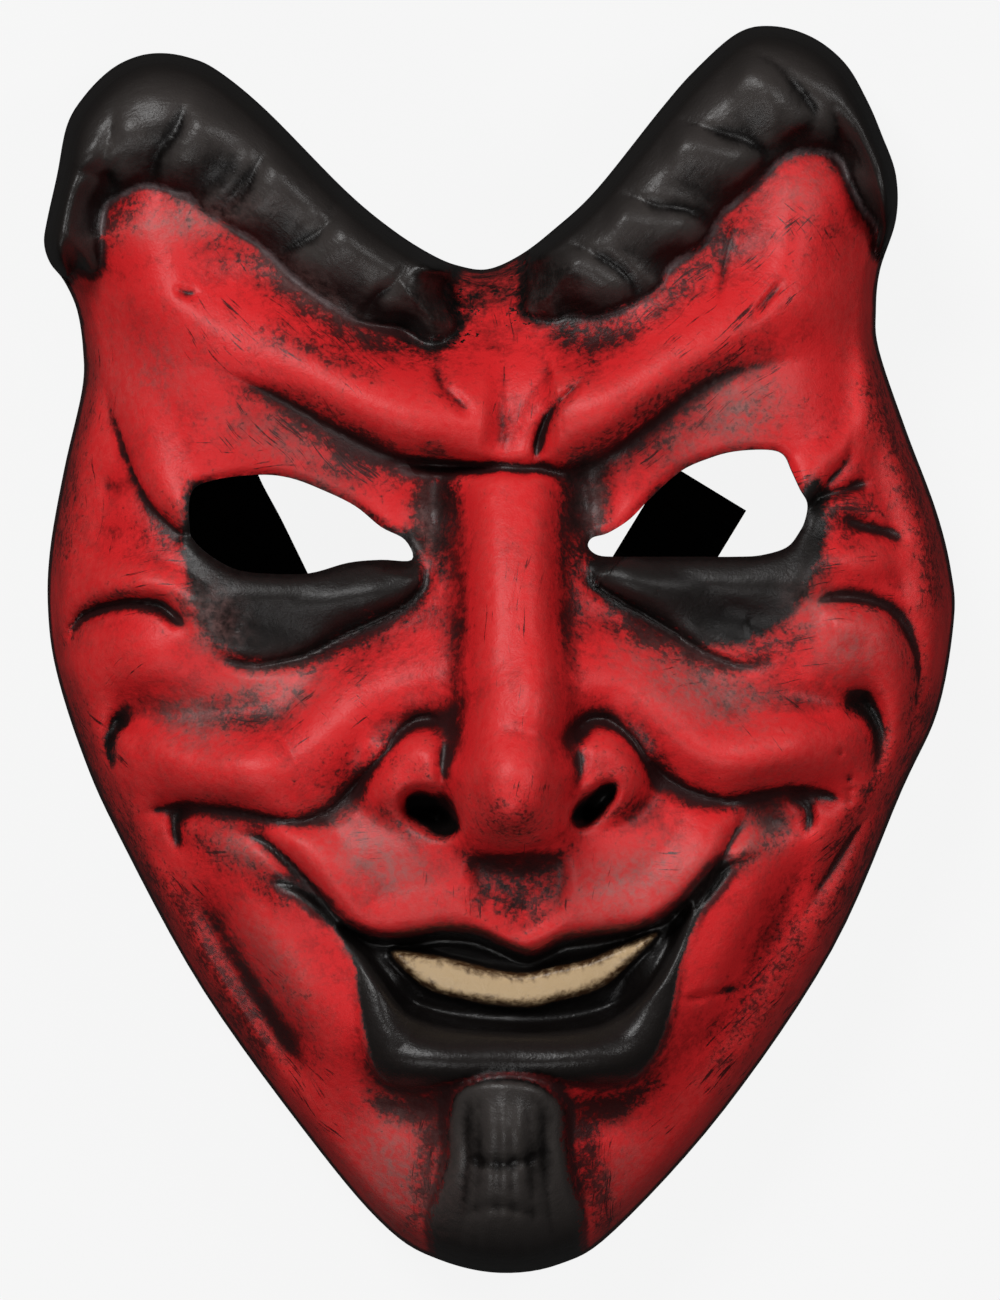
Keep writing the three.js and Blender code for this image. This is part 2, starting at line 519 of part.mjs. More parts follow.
// Folds that part each horn into overlapping plates.
const hornRelief = [
  fold({
    path: [[-46, 102], [-51, 92.6], [-56, 87.6], [-62, 84]],
    height: 1.6, roll: 4, reach: 8, tuck: 0.6, tuckReach: 2, fade: [0.2, 0.1],
  }),
  fold({
    path: [[-30, 94], [-35, 84.6], [-43, 79.6], [-46, 76]],
    height: 1.6, roll: 4, reach: 8, tuck: 0.6, tuckReach: 2, fade: [0.2, 0.1],
  }),
  fold({
    path: [[-15, 82], [-20.6, 73.6], [-25, 70.4], [-28, 64]],
    height: 1.4, roll: 3.4, reach: 7, tuck: 0.6, tuckReach: 2, fade: [0.2, 0.1],
  }),
  fold({
    path: [[-62, 112], [-64.4, 105], [-68.6, 98], [-70, 92]],
    height: 1.8, roll: 4, reach: 8, tuck: 0.6, tuckReach: 2, fade: [0.3, 0.1],
  }),
  fold({
    path: [[-76, 110], [-78, 103], [-79, 97], [-76, 90]],
    height: 1, roll: 3, reach: 7, tuck: 0.4, tuckReach: 2, fade: [0.3, 0.2],
  }),
  fold({
    path: [[-90, 92], [-86, 95], [-82, 95.6], [-78, 94]],
    height: 1, roll: 3, reach: 6, tuck: 0.4, tuckReach: 2, fade: [0.1, 0.2],
  }),
  fold({
    path: [[54, 98], [50, 101.6], [42, 104], [34, 106.6]],
    height: 1.8, roll: 4, reach: 8, tuck: 0.6, tuckReach: 2, fade: [0.1, 0.2],
  }),
  fold({
    path: [[64, 106], [60, 112], [54, 117.6], [47, 121]],
    height: 1.8, roll: 4, reach: 8, tuck: 0.6, tuckReach: 2, fade: [0.1, 0.2],
  }),
  fold({
    path: [[44, 84], [38, 87.6], [31, 89], [22, 92]],
    height: 1.6, roll: 4, reach: 8, tuck: 0.6, tuckReach: 2, fade: [0.1, 0.2],
  }),
  fold({
    path: [[28, 70], [25, 75], [19, 79], [12, 82]],
    height: 1.4, roll: 3.4, reach: 7, tuck: 0.6, tuckReach: 2, fade: [0.1, 0.2],
  }),
  fold({
    path: [[78, 92], [73, 97], [68, 104], [66, 112]],
    height: 1, roll: 3, reach: 7, tuck: 0.4, tuckReach: 2, fade: [0.2, 0.3],
  }),
];

const rim = smoothCurve(rimPlan, 6, true);
const hornOutlines = [leftHornPlan, rightHornPlan].map((plan) => smoothCurve(plan, 4, true));

// How high the horns stand over the face at a place: they are round over their whole width, from
// the rim to where they meet the face, and make up for the face's sag towards the rim.
function hornOver(x, y, inward, sag) {
  const inside = Math.max(...hornOutlines.map((outline) => signedDistance(outline, x, y)));
  const cover = ease(inside / hornEdge + 0.4);
  if (cover === 0) return 0;
  const width = Math.max(inside, 0) + inward;
  const share = clamp01(inside / Math.max(width, 0.1));
  const middle = 4 * share * (1 - share);
  let roll = hornStep + hornRise * width * middle ** hornRoundness;
  for (const plate of hornRelief) roll += plate(x, y) * Math.min(1, middle + 0.2);
  return (roll + sag * ease(share / hornLean)) * cover;
}

// Height of the outer face over a place in the plan.
function outerHeight(x, y) {
  const inward = signedDistance(rim, x, y);
  if (inward <= 0) return 0;
  const hornShare = ease((y - hornZone.start + hornZone.lean * Math.abs(x)) / hornZone.length);
  const jawShare = ease((jawZone.start - y) / jawZone.length);
  const chinShare = ease((chinZone.start - y) / chinZone.length);
  const faceSlope = sideSlope.cheek + (sideSlope.jaw - sideSlope.cheek) * jawShare
    + (sideSlope.chin - sideSlope.jaw) * chinShare;
  const slope = faceSlope + (sideSlope.horn - faceSlope) * hornShare;
  const drop = sideDrop.cheek + (sideDrop.jaw - sideDrop.cheek) * jawShare;
  const plain = faceHeight - endDrop.height * (Math.abs(y - endDrop.from) / endDrop.over) ** endDrop.power;
  let face = plain - drop * (1 - clamp01(inward / slope)) ** 2;
  for (const relief of faceRelief) face += relief(x, y);
  const top = face + hornOver(x, y, inward, plain - face);
  const turn = clamp01(inward / (shoulder.face + (shoulder.horn - shoulder.face) * hornShare));
  return top * Math.sqrt(Math.max(1 - (1 - turn) ** shoulder.power, 0));
}

// The outer face on a square field, read back between its points.
class HeightField {
  constructor(heightAt, cell) {
    this.cell = cell;
    this.low = [0, 1].map((k) => Math.min(...rim.map((point) => point[k])) - 2 * cell);
    const high = [0, 1].map((k) => Math.max(...rim.map((point) => point[k])) + 2 * cell);
    this.size = [0, 1].map((k) => Math.ceil((high[k] - this.low[k]) / cell) + 1);
    this.values = new Float64Array(this.size[0] * this.size[1]);
    for (let j = 0; j < this.size[1]; j++) {
      for (let i = 0; i < this.size[0]; i++) {
        this.values[j * this.size[0] + i] = heightAt(this.low[0] + i * cell, this.low[1] + j * cell);
      }
    }
  }

  at(x, y) {
    const u = Math.min(Math.max((x - this.low[0]) / this.cell, 0), this.size[0] - 1.001);
    const v = Math.min(Math.max((y - this.low[1]) / this.cell, 0), this.size[1] - 1.001);
    const [i, j] = [Math.floor(u), Math.floor(v)];
    const [s, t] = [u - i, v - j];
    const value = (column, row) => this.values[row * this.size[0] + column];
    const below = value(i, j) * (1 - s) + value(i + 1, j) * s;
    const above = value(i, j + 1) * (1 - s) + value(i + 1, j + 1) * s;
    return below * (1 - t) + above * t;
  }
}

const outerField = new HeightField(outerHeight, fieldCell);

// Height of the outer face evened out over about a facet, save close to the steep rim.
function facetHeight(x, y) {
  const here = outerHeight(x, y);
  if (signedDistance(rim, x, y) < shoulder.face) return here;
  let sum = 2 * here;
  for (const [dx, dy] of [[1, 1], [1, -1], [-1, 1], [-1, -1]]) {
    sum += outerField.at(x + dx * facetReach, y + dy * facetReach);
  }
  return sum / 6;
}

// Height of the inner face: the highest that a ball as big as the wall can lie under the outer one.
function innerHeight(x, y) {
  let lowest = outerField.at(x, y) - wall;
  for (const share of [0.5, 0.86, 1]) {
    const reach = wall * share;
    const lift = Math.sqrt(Math.max(wall * wall - reach * reach, 0));
    for (let turn = 0; turn < 12; turn++) {
      const angle = (turn / 12) * 2 * Math.PI;
      const over = outerField.at(x + reach * Math.cos(angle), y + reach * Math.sin(angle));
      lowest = Math.min(lowest, over - lift);
    }
  }
  return Math.max(lowest, 0);
}

// A point of the plan at a height. The plan is drawn as the mask is seen from in front, so what
// stands nearer to the eye is really smaller than it is drawn.
function raised(x, y, height) {
  const share = 1 - height / viewDistance;
  return new THREE.Vector3(x * share, y * share, height);
}

// The place where a way from the middle of the plan to a rim point is the given depth inside it.
function insetPoint([rimX, rimY], depth) {
  let [low, high] = [0.5, 1];
  for (let i = 0; i < 24; i++) {
    const middle = (low + high) / 2;
    const x = planCentre[0] + (rimX - planCentre[0]) * middle;
    const y = planCentre[1] + (rimY - planCentre[1]) * middle;
    if (signedDistance(rim, x, y) > depth) low = middle;
    else high = middle;
  }
  return [planCentre[0] + (rimX - planCentre[0]) * low, planCentre[1] + (rimY - planCentre[1]) * low];
}

// A dome over the plan, made of square rings that turn into the outline as they go outward. It
// gives its corners, its faces and the numbers of the corners on its rim.
function dome(outline, rings, heightAt) {
  const side = 2 * rings + 1;
  const corners = [];
  const boundary = [];
  const faces = [];
  const fractions = Array.from({ length: rings + 1 }, (_, ring) => {
    const fromRim = rings - ring;
    if (fromRim < rimFractions.length) return rimFractions[rimFractions.length - 1 - fromRim];
    return (rimFractions[0] * ring) / (rings - rimFractions.length + 1);
  });
  for (let row = -rings; row <= rings; row++) {
    for (let column = -rings; column <= rings; column++) {
      const ring = Math.max(Math.abs(row), Math.abs(column));
      let around = 0;
      if (ring > 0 && column === ring) around = row;
      else if (ring > 0 && row === ring) around = 2 * ring - column;
      else if (ring > 0 && column === -ring) around = 4 * ring - row;
      else if (ring > 0) around = 6 * ring + column;
      const share = ring > 0 ? (around / (8 * ring) + 1) % 1 : 0;
      const [rimX, rimY] = outline(share);
      const x = planCentre[0] + (rimX - planCentre[0]) * fractions[ring];
      const y = planCentre[1] + (rimY - planCentre[1]) * fractions[ring];
      if (ring === rings) boundary.push({ share, index: corners.length });
      corners.push(raised(x, y, ring === rings ? 0 : heightAt(x, y)));
    }
  }
  for (let row = 0; row < side - 1; row++) {
    for (let column = 0; column < side - 1; column++) {
      const a = row * side + column;
      const [b, c, d] = [a + 1, a + side + 1, a + side];
      const slant = corners[a].distanceTo(corners[c]) <= corners[b].distanceTo(corners[d]);
      if (slant) faces.push([a, b, c], [a, c, d]);
      else faces.push([a, b, d], [b, c, d]);
    }
  }
  boundary.sort((one, other) => one.share - other.share);
  return { corners, faces, boundary };
}

// The outline by its share of the way round, started where a way from the middle runs along +X.
function outlineByShare(outline) {
  const start = outline.findIndex((point, i) => {
    const next = outline[(i + 1) % outline.length];
    return point[0] > 0 && (point[1] - planCentre[1]) * (next[1] - planCentre[1]) <= 0;
  });
  const turned = [...outline.slice(start), ...outline.slice(0, start + 1)];
  const reach = [0];
  for (let i = 1; i < turned.length; i++) {
    const [dx, dy] = [turned[i][0] - turned[i - 1][0], turned[i][1] - turned[i - 1][1]];
    reach.push(reach[i - 1] + Math.hypot(dx, dy));
  }
  const length = reach[reach.length - 1];
  return (share) => {
    const want = share * length;
    let at = 1;
    while (at < turned.length - 1 && reach[at] < want) at++;
    const t = (want - reach[at - 1]) / (reach[at] - reach[at - 1]);
    return [0, 1].map((k) => turned[at - 1][k] + (turned[at][k] - turned[at - 1][k]) * t);
  };
}

// A geometry from corner points and faces.
function geometryOf(corners, faces) {
  const geometry = new THREE.BufferGeometry();
  const numbers = corners.flatMap((corner) => [corner.x, corner.y, corner.z]);
  geometry.setAttribute("position", new THREE.Float32BufferAttribute(numbers, 3));
  geometry.setIndex(faces.flat());
  return geometry;
}

// The hollow moulding: outer dome, flat rim and inner dome in one closed skin.
function shellGeometry() {
  const rimByShare = outlineByShare(rim);
  const outer = dome(rimByShare, outerRings, facetHeight);
  const inner = dome((share) => insetPoint(rimByShare(share), wall), innerRings, innerHeight);
  const offset = outer.corners.length;
  const faces = [...outer.faces, ...inner.faces.map(([a, b, c]) => [a + offset, c + offset, b + offset])];
  let [i, j] = [0, 0];
  const outerCount = outer.boundary.length;
  const innerCount = inner.boundary.length;
  while (i < outerCount || j < innerCount) {
    const from = outer.boundary[i % outerCount].index;
    const to = inner.boundary[j % innerCount].index + offset;
    if (j >= innerCount || (i < outerCount && (i + 1) / outerCount <= (j + 1) / innerCount)) {
      faces.push([outer.boundary[(i + 1) % outerCount].index, from, to]);
      i++;
    } else {
      faces.push([from, to, inner.boundary[(j + 1) % innerCount].index + offset]);
      j++;
    }
  }
  return geometryOf([...outer.corners, ...inner.corners], faces);
}

// An upright block over an outline, to cut an eye opening with.
function eyeCutter(plan) {
  const share = 1 - eyeHeight / viewDistance;
  const outline = smoothCurve(plan, 2, true);
  const shape = new THREE.Shape(outline.map(([x, y]) => new THREE.Vector2(x * share, y * share)));
  const cutter = new THREE.ExtrudeGeometry(shape, { depth: 2 * faceHeight, bevelEnabled: false });
  return cutter.translate(0, 0, -1);
}

// Three.js geometry to a solid and back.
function toSolid(geometry) {
  const bare = geometry.clone();
  bare.deleteAttribute("normal");
  bare.deleteAttribute("uv");
  const merged = mergeVertices(bare, 1e-4);
  return new wasm.Manifold(new wasm.Mesh({
    numProp: 3,
    vertProperties: new Float32Array(merged.attributes.position.array),
    triVerts: new Uint32Array(merged.index.array),
  }));
}

function toGeometry(solid) {
  const mesh = solid.getMesh();
  const geometry = new THREE.BufferGeometry();
  geometry.setAttribute("position", new THREE.Float32BufferAttribute(mesh.vertProperties, 3));
  geometry.setIndex(Array.from(mesh.triVerts));
  geometry.computeVertexNormals();
  return geometry;
}

// A tie as a flat strip along a path of x, y and tilt in degrees: 0 lies flat, 90 stands on edge.
function tieGeometry(path) {
  const rows = path.map(([x, y, degrees]) => {
    const tilt = THREE.MathUtils.degToRad(degrees);
    const halfTall = (tieWidth * Math.abs(Math.sin(tilt)) + tieThickness * Math.cos(tilt)) / 2;
    return [x, y, tieRest + halfTall, tilt];
  });
  const curve = smoothCurve(rows, 12);
  const { stations } = evenStations(curve, tieStations);
  const corners = [];
  const faces = [];
  stations.forEach((station, i) => {
    const last = stations[Math.max(i - 1, 0)];
    const next = stations[Math.min(i + 1, tieStations - 1)];
    const run = new THREE.Vector3(next[0] - last[0], next[1] - last[1], next[2] - last[2]).normalize();
    const level = new THREE.Vector3(-run.y, run.x, 0).normalize();
    const up = new THREE.Vector3().crossVectors(run, level);
    const tilt = station[3];
    const across = level.clone().multiplyScalar(Math.cos(tilt)).addScaledVector(up, Math.sin(tilt));
    const normal = new THREE.Vector3().crossVectors(run, across);
    const middle = new THREE.Vector3(...station.slice(0, 3));
    for (const [side, face] of [[-1, -1], [1, -1], [1, 1], [-1, 1]]) {
      const corner = middle.clone().addScaledVector(across, (side * tieWidth) / 2);
      corners.push(corner.addScaledVector(normal, (face * tieThickness) / 2));
    }
  });
  for (let i = 0; i < tieStations - 1; i++) {
    for (let k = 0; k < 4; k++) {
      const [a, b] = [4 * i + k, 4 * i + ((k + 1) % 4)];
      faces.push([a, b + 4, a + 4], [a, b, b + 4]);
    }
  }
  const last = 4 * (tieStations - 1);
  faces.push([0, 2, 1], [0, 3, 2], [last, last + 1, last + 2], [last, last + 2, last + 3]);
  return geometryOf(corners, faces);
}

// The left tie starts on the wall at the temple, turns over, lies under the eye and loops below.
const leftTiePath = [
  [-83.8, 8, tieTilt], [-82, 24, tieTilt], [-79.2, 36, tieTilt], [-76.2, 50, tieTilt],
  [-73.6, 61, 80], [-67, 63, 62], [-62, 50, 24], [-57.2, 33, 0], [-51.3, 21.2, 0],
  [-43.5, 5.2, 0], [-35.7, -10.8, 0], [-27.9, -26.8, 8], [-20.6, -44, 40], [-16.6, -60, 80],
  [-17.5, -78, 88], [-24, -90, 88], [-34, -84, 88], [-44, -67, 88], [-53, -49, 88],
  [-61, -32, 88], [-67, -14, 88],
];

// The right tie runs down inside the cheek, loops back behind the mouth and ends under the eye.
const rightTiePath = [
  [70, 60, -tieTilt], [71.4, 53, -tieTilt], [75, 44, -tieTilt], [79.6, 32, -tieTilt],
  [83.2, 16, -tieTilt], [83.4, 0, -88], [77, -18, -88], [66, -38, -88], [53, -60, -88],
  [38, -80, -88], [24, -95, -88], [11, -99, -88], [2, -91, -88], [0.4, -76, -88],
  [1.4, -60, -80], [2.2, -44, -46], [5, -27.2, -12], [12, -15.7, 0], [21.8, 0.3, 0],
  [31.8, 16.6, 0], [41.8, 33, 0],
];

// Colours and gloss, as linear base colours on plain surfaces.
const finishes = {
  paint: new THREE.MeshStandardMaterial({ color: 0xc0242a, roughness: 0.45, metalness: 0 }),
  ribbon: new THREE.MeshStandardMaterial({ color: 0x0c0d12, roughness: 0.7, metalness: 0 }),
};

const mask = new THREE.Group();

function addPiece(name, geometry, material) {
  const mesh = new THREE.Mesh(geometry, material);
  mesh.name = name;
  mask.add(mesh);
  return mesh;
}

const eyeCutters = [leftEyePlan, rightEyePlan].map((plan) => toSolid(eyeCutter(plan)));
const shell = eyeCutters.reduce((solid, cutter) => solid.subtract(cutter), toSolid(shellGeometry()));
const shellPiece = toGeometry(shell);
addPiece("mask_shell", shellPiece, finishes.paint);
addPiece("left_ribbon_tie", tieGeometry(leftTiePath), finishes.ribbon);
addPiece("right_ribbon_tie", tieGeometry(rightTiePath), finishes.ribbon);

// The middle of the moulding's footprint is set over the origin.
shellPiece.computeBoundingBox();
const middle = shellPiece.boundingBox.getCenter(new THREE.Vector3());
mask.position.set(-middle.x, -middle.y, -shellPiece.boundingBox.min.z);

export default mask;
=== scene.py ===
"""A papier-mache carnival devil mask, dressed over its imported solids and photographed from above."""

from __future__ import annotations

import logging
import math
from dataclasses import dataclass, field
from enum import Enum
from functools import reduce
from typing import Callable, Sequence

import bpy
import numpy as np
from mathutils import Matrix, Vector

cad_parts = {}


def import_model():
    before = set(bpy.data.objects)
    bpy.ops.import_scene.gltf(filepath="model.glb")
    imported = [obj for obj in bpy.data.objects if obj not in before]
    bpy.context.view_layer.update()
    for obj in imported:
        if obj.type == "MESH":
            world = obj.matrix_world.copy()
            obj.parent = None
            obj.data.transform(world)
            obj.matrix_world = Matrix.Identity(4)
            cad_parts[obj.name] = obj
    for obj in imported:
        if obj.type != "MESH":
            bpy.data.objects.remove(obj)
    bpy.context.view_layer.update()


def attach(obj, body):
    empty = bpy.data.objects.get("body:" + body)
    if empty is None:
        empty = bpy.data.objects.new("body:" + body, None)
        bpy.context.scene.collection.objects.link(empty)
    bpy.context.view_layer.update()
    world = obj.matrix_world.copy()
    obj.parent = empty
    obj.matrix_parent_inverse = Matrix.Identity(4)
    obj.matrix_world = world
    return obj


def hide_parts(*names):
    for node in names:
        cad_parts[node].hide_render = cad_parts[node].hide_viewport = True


log = logging.getLogger("mask")

MM = 0.001
PHOTO_PIXELS_TALL = 1300
PHOTO_MM_PER_PIXEL = 0.2

# How many points each span of a curve becomes.
PLAN_STEPS = 5
EDGE_STEPS = 6
PATH_STEPS = 12
FINE_STEPS = 16

# How a stroke's stations are spaced, how far out it still has height, and over how much of its
# width one side gives way to the other. The two least values keep anything from being divided by 0.
FEWEST_STATIONS = 4
MOST_STATIONS = 90
STATION_GAP = 0.5
STROKE_REACH = 2.7
SIDE_BLEND = 0.6
LEAST_WEIGHT = 1e-280
LEAST_LENGTH = 1e-12

Array = np.ndarray
Numbers = float | Sequence[float]
Rows = Sequence[Sequence[float]]
Pair = tuple[float, float]
Triple = tuple[float, float, float]
Colour = tuple[float, float, float, float]
Node = bpy.types.Node
Socket = bpy.types.NodeSocket
Material = bpy.types.Material
Mesh = bpy.types.Mesh
Piece = bpy.types.Object
Tree = bpy.types.NodeTree
Wire = Socket | float | tuple


def clamp01(value: Array) -> Array:
    """Keep numbers between 0 and 1."""
    return np.clip(value, 0.0, 1.0)


def ease(value: Array) -> Array:
    """Blend from 0 to 1 with a soft start and end."""
    kept = clamp01(value)
    return kept * kept * (3.0 - 2.0 * kept)


def smooth_curve(rows: Rows, steps: int, closed: bool = False) -> Array:
    """Run a smooth curve through rows of numbers, every column carried along alike.

    Args:
        rows: The points, with any further columns.
        steps: How many points each span becomes.
        closed: Whether the last point joins the first.

    Returns:
        The curve's points, one to a row.
    """
    points = np.array(rows, float)
    count = len(points)
    spans = np.arange(count if closed else count - 1)

    def row(offset: int) -> Array:
        """Give the points at an offset from each span's start."""
        places = spans + offset
        return points[places % count if closed else np.clip(places, 0, count - 1)][:, None, :]

    before, start, end, after = row(-1), row(0), row(1), row(2)
    t = (np.arange(steps) / steps)[None, :, None]
    curve = 0.5 * (
        2 * start
        + (end - before) * t
        + (2 * before - 5 * start + 4 * end - after) * t**2
        + (3 * start - before - 3 * end + after) * t**3
    )
    flat = curve.reshape(-1, points.shape[1])
    return flat if closed else np.vstack([flat, points[-1:]])


def step_lengths(line: Array) -> Array:
    """Give the lengths in plan of the steps from point to point of a line."""
    return np.linalg.norm(np.diff(line[:, :2], axis=0), axis=1)


def distances_along(line: Array) -> Array:
    """Give how far along a line each of its points lies, in plan."""
    return np.concatenate([[0.0], np.cumsum(step_lengths(line))])


def directions(line: Array) -> Array:
    """Give the way that a line runs at each of its points, one unit long."""
    run = np.gradient(line, axis=0)
    return run / np.linalg.norm(run, axis=1, keepdims=True)


def even_stations(curve: Array, count: int) -> tuple[Array, float]:
    """Spread stations evenly along a curve, at the middles of equal lengths.

    Args:
        curve: The curve's points; the first two columns are its plan.
        count: How many stations to make.

    Returns:
        The stations and the curve's length in plan.
    """
    reach = distances_along(curve)
    wanted = (np.arange(count) + 0.5) / count * reach[-1]
    columns = [np.interp(wanted, reach, curve[:, k]) for k in range(curve.shape[1])]
    return np.stack(columns, axis=1), float(reach[-1])


def close_to(points: Array, line: Array, reach: float) -> Array:
    """Tell which points lie in the box that stands off a line by a reach."""
    return np.all((points > line.min(axis=0) - reach) & (points < line.max(axis=0) + reach), axis=1)


def signed_distance(outline: Array, points: Array) -> Array:
    """Measure how far points lie inside a closed outline, negative outside it.

    Args:
        outline: The outline's corners.
        points: The points to measure.

    Returns:
        One distance for each point.
    """
    nearest = np.full(len(points), np.inf)
    inside = np.zeros(len(points), bool)
    x, y = points[:, 0], points[:, 1]
    for (ax, ay), (bx, by) in zip(outline, np.roll(outline, -1, axis=0)):
        ux, uy = bx - ax, by - ay
        t = clamp01(((x - ax) * ux + (y - ay) * uy) / max(ux * ux + uy * uy, LEAST_LENGTH))
        nearest = np.minimum(nearest, (x - ax - t * ux) ** 2 + (y - ay - t * uy) ** 2)
        if ay != by:
            crosses = (ay > y) != (by > y)
            inside ^= crosses & (x < ux * (y - ay) / uy + ax)
    return np.where(inside, 1.0, -1.0) * np.sqrt(nearest)


def inside_plans(plans: Sequence[Rows], points: Array, floor: float) -> Array:
    """Measure how far points lie inside any of several smooth outlines.

    Args:
        plans: The outlines.
        points: The points to measure.
        floor: The least that is given, far outside them all.

    Returns:
        One distance for each point, negative outside.
    """
    inside = np.full(len(points), floor)
    for plan in plans:
        inside = np.maximum(inside, signed_distance(smooth_curve(plan, PLAN_STEPS, closed=True), points))
    return inside


@dataclass(frozen=True)
class Stroke:
    """A roll of relief along a curve, or a groove where its height is negative.

    Heights and half widths are single numbers or one for each point of the path. Left and right
    are the half widths on the two sides of the way the path runs, and alike where there is no
    right. The higher the square, the flatter the top. Each fade is the share of the length over
    which that end dies out, and the blur is how far the stations run into each other.
    """

    path: Rows
    height: Numbers
    left: Numbers
    right: Numbers | None = None
    square: float = 2.0
    fade: Pair = (0.2, 0.2)
    blur: float = 0.6

    def column(self, value: Numbers) -> Array:
        """Spread a value over the path's points."""
        return np.broadcast_to(np.array(value, float), (len(self.path),))

    def stations(self) -> tuple[Array, float]:
        """Place the stroke's stations.

        Returns:
            Rows of x, y, height, left and right, and the spacing between them.
        """
        left = self.column(self.left)
        right = left if self.right is None else self.column(self.right)
        rows = np.column_stack([np.array(self.path, float), self.column(self.height), left, right])
        curve = smooth_curve(rows, PATH_STEPS)
        narrowest = min(left.min(), right.min())
        length = distances_along(curve)[-1]
        spacing = max(STATION_GAP * self.blur * narrowest, length / MOST_STATIONS)
        stations, _ = even_stations(curve, max(FEWEST_STATIONS, math.ceil(length / spacing)))
        return stations, length / len(stations)

    def lift(self, points: Array) -> Array:
        """Give the stroke's height over points.

        Args:
            points: Places in the plan.

        Returns:
            One height for each place.
        """
        stations, spacing = self.stations()
        count = len(stations)
        along = (np.arange(count) + 0.5) / count
        top = stations[:, 2].copy()
        for share, fade in zip((along, 1 - along), self.fade):
            if fade > 0:
                top *= ease(share / fade)
        run = directions(stations[:, :2])
        blurs = self.blur * np.minimum(stations[:, 3], stations[:, 4])
        near = close_to(points, stations[:, :2], STROKE_REACH * stations[:, 3:5].max() + 1)
        found = points[near]
        weights, tops, halves, spread = np.zeros((4, len(found)))
        for i in range(count):
            dx, dy = found[:, 0] - stations[i, 0], found[:, 1] - stations[i, 1]
            left, right = stations[i, 3:5]
            weight = np.exp(-(dx * dx + dy * dy) / blurs[i] ** 2) * spacing / (blurs[i] * math.sqrt(math.pi))
            half = right
            if left != right:
                side = (run[i, 0] * dy - run[i, 1] * dx) / (SIDE_BLEND * (left + right))
                half = right + (left - right) * ease(side + 0.5)
            weights += weight
            tops += weight * top[i]
            halves += weight * half
            spread += weight * blurs[i]
        lifted = np.zeros(len(points))
        kept = weights > LEAST_WEIGHT
        total = weights[kept]
        squared = np.maximum(-((spread[kept] / total) ** 2) * np.log(np.minimum(total, 1.0)), 0.0)
        values = np.zeros(len(found))
        shape = np.exp(-((squared / (halves[kept] / total) ** 2) ** (self.square / 2)))
        values[kept] = tops[kept] / total * shape
        lifted[near] = values
        return lifted


@dataclass(frozen=True)
class Mound:
    """A round or oval swelling, or a hollow where its height is negative. Its turn is in degrees."""

    centre: Pair
    radii: Pair
    height: float
    turn: float = 0.0
    square: float = 2.0

    def lift(self, points: Array) -> Array:
        """Give the mound's height over points.

        Args:
            points: Places in the plan.

        Returns:
            One height for each place.
        """
        cos, sin = math.cos(math.radians(self.turn)), math.sin(math.radians(self.turn))
        x, y = points[:, 0] - self.centre[0], points[:, 1] - self.centre[1]
        u = (x * cos + y * sin) / self.radii[0]
        v = (y * cos - x * sin) / self.radii[1]
        return self.height * np.exp(-((u * u + v * v) ** (self.square / 2)))


@dataclass(frozen=True)
class Panel:
    """A raised or sunk field inside an outline, its edge as wide as given."""

    plan: Rows
    height: float
    edge: float

    def lift(self, points: Array) -> Array:
        """Give the panel's height over points.

        Args:
            points: Places in the plan.

        Returns:
            One height for each place.
        """
        outline = smooth_curve(self.plan, EDGE_STEPS, closed=True)
        near = close_to(points, outline, self.edge)
        lifted = np.zeros(len(points))
        lifted[near] = self.height * ease(signed_distance(outline, points[near]) / self.edge + 0.5)
        return lifted


@dataclass(frozen=True)
class Fold:
    """A fold whose lip, on the left of the way its path runs, rolls down over what lies to the right.

    The lip climbs a quarter round as wide as the roll, then sinks back over the reach. The other
    side dips by the tuck beside the fold. The height is one number or one for each point. The
    blunter the lip, the gentler its climb.
    """

    path: Rows
    height: Numbers
    roll: float
    reach: float
    tuck: float = 0.0
    tuck_reach: float = 4.0
    fade: Pair = (0.15, 0.15)
    blunt: float = 0.65

    def lift(self, points: Array) -> Array:
        """Give the fold's height over points.

        Args:
            points: Places in the plan.

        Returns:
            One height for each place.
        """
        heights = np.broadcast_to(np.array(self.height, float), (len(self.path),))
        curve = smooth_curve(np.column_stack([np.array(self.path, float), heights]), FINE_STEPS)
        starts = distances_along(curve)
        near = close_to(points, curve[:, :2], self.roll + self.reach + self.tuck_reach)
        x, y = points[near].T
        nearest = np.full(len(x), np.inf)
        along, beside, top = np.zeros((3, len(x)))
        for i, step in enumerate(step_lengths(curve)):
            (ax, ay, atop), (bx, by, btop) = curve[i], curve[i + 1]
            ux, uy = (bx - ax) / step, (by - ay) / step
            t = np.clip((x - ax) * ux + (y - ay) * uy, 0.0, step)
            away = (x - ax - t * ux) ** 2 + (y - ay - t * uy) ** 2
            closer = away < nearest
            nearest = np.where(closer, away, nearest)
            along = np.where(closer, starts[i] + t, along)
            beside = np.where(closer, np.sign(ux * (y - ay) - uy * (x - ax)), beside)
            top = np.where(closer, atop + (btop - atop) * t / step, top)
        beside *= np.sqrt(nearest)
        share = along / starts[-1]
        kept = ease(share / self.fade[0]) * ease((1 - share) / self.fade[1])
        climb = (1 - (1 - clamp01(beside / self.roll)) ** 2) ** self.blunt
        sink = 1 - ease((beside - self.roll) / self.reach)
        dip = self.tuck * (1 - ease(-beside / self.tuck_reach))
        lifted = np.zeros(len(points))
        lifted[near] = kept * (climb * (top * sink + dip) - dip)
        return lifted


Form = Stroke | Mound | Panel | Fold


def highest_form(forms: Sequence[Form], points: Array) -> Array:
    """Give the greatest of several forms' heights over points."""
    return np.max([form.lift(points) for form in forms], axis=0)


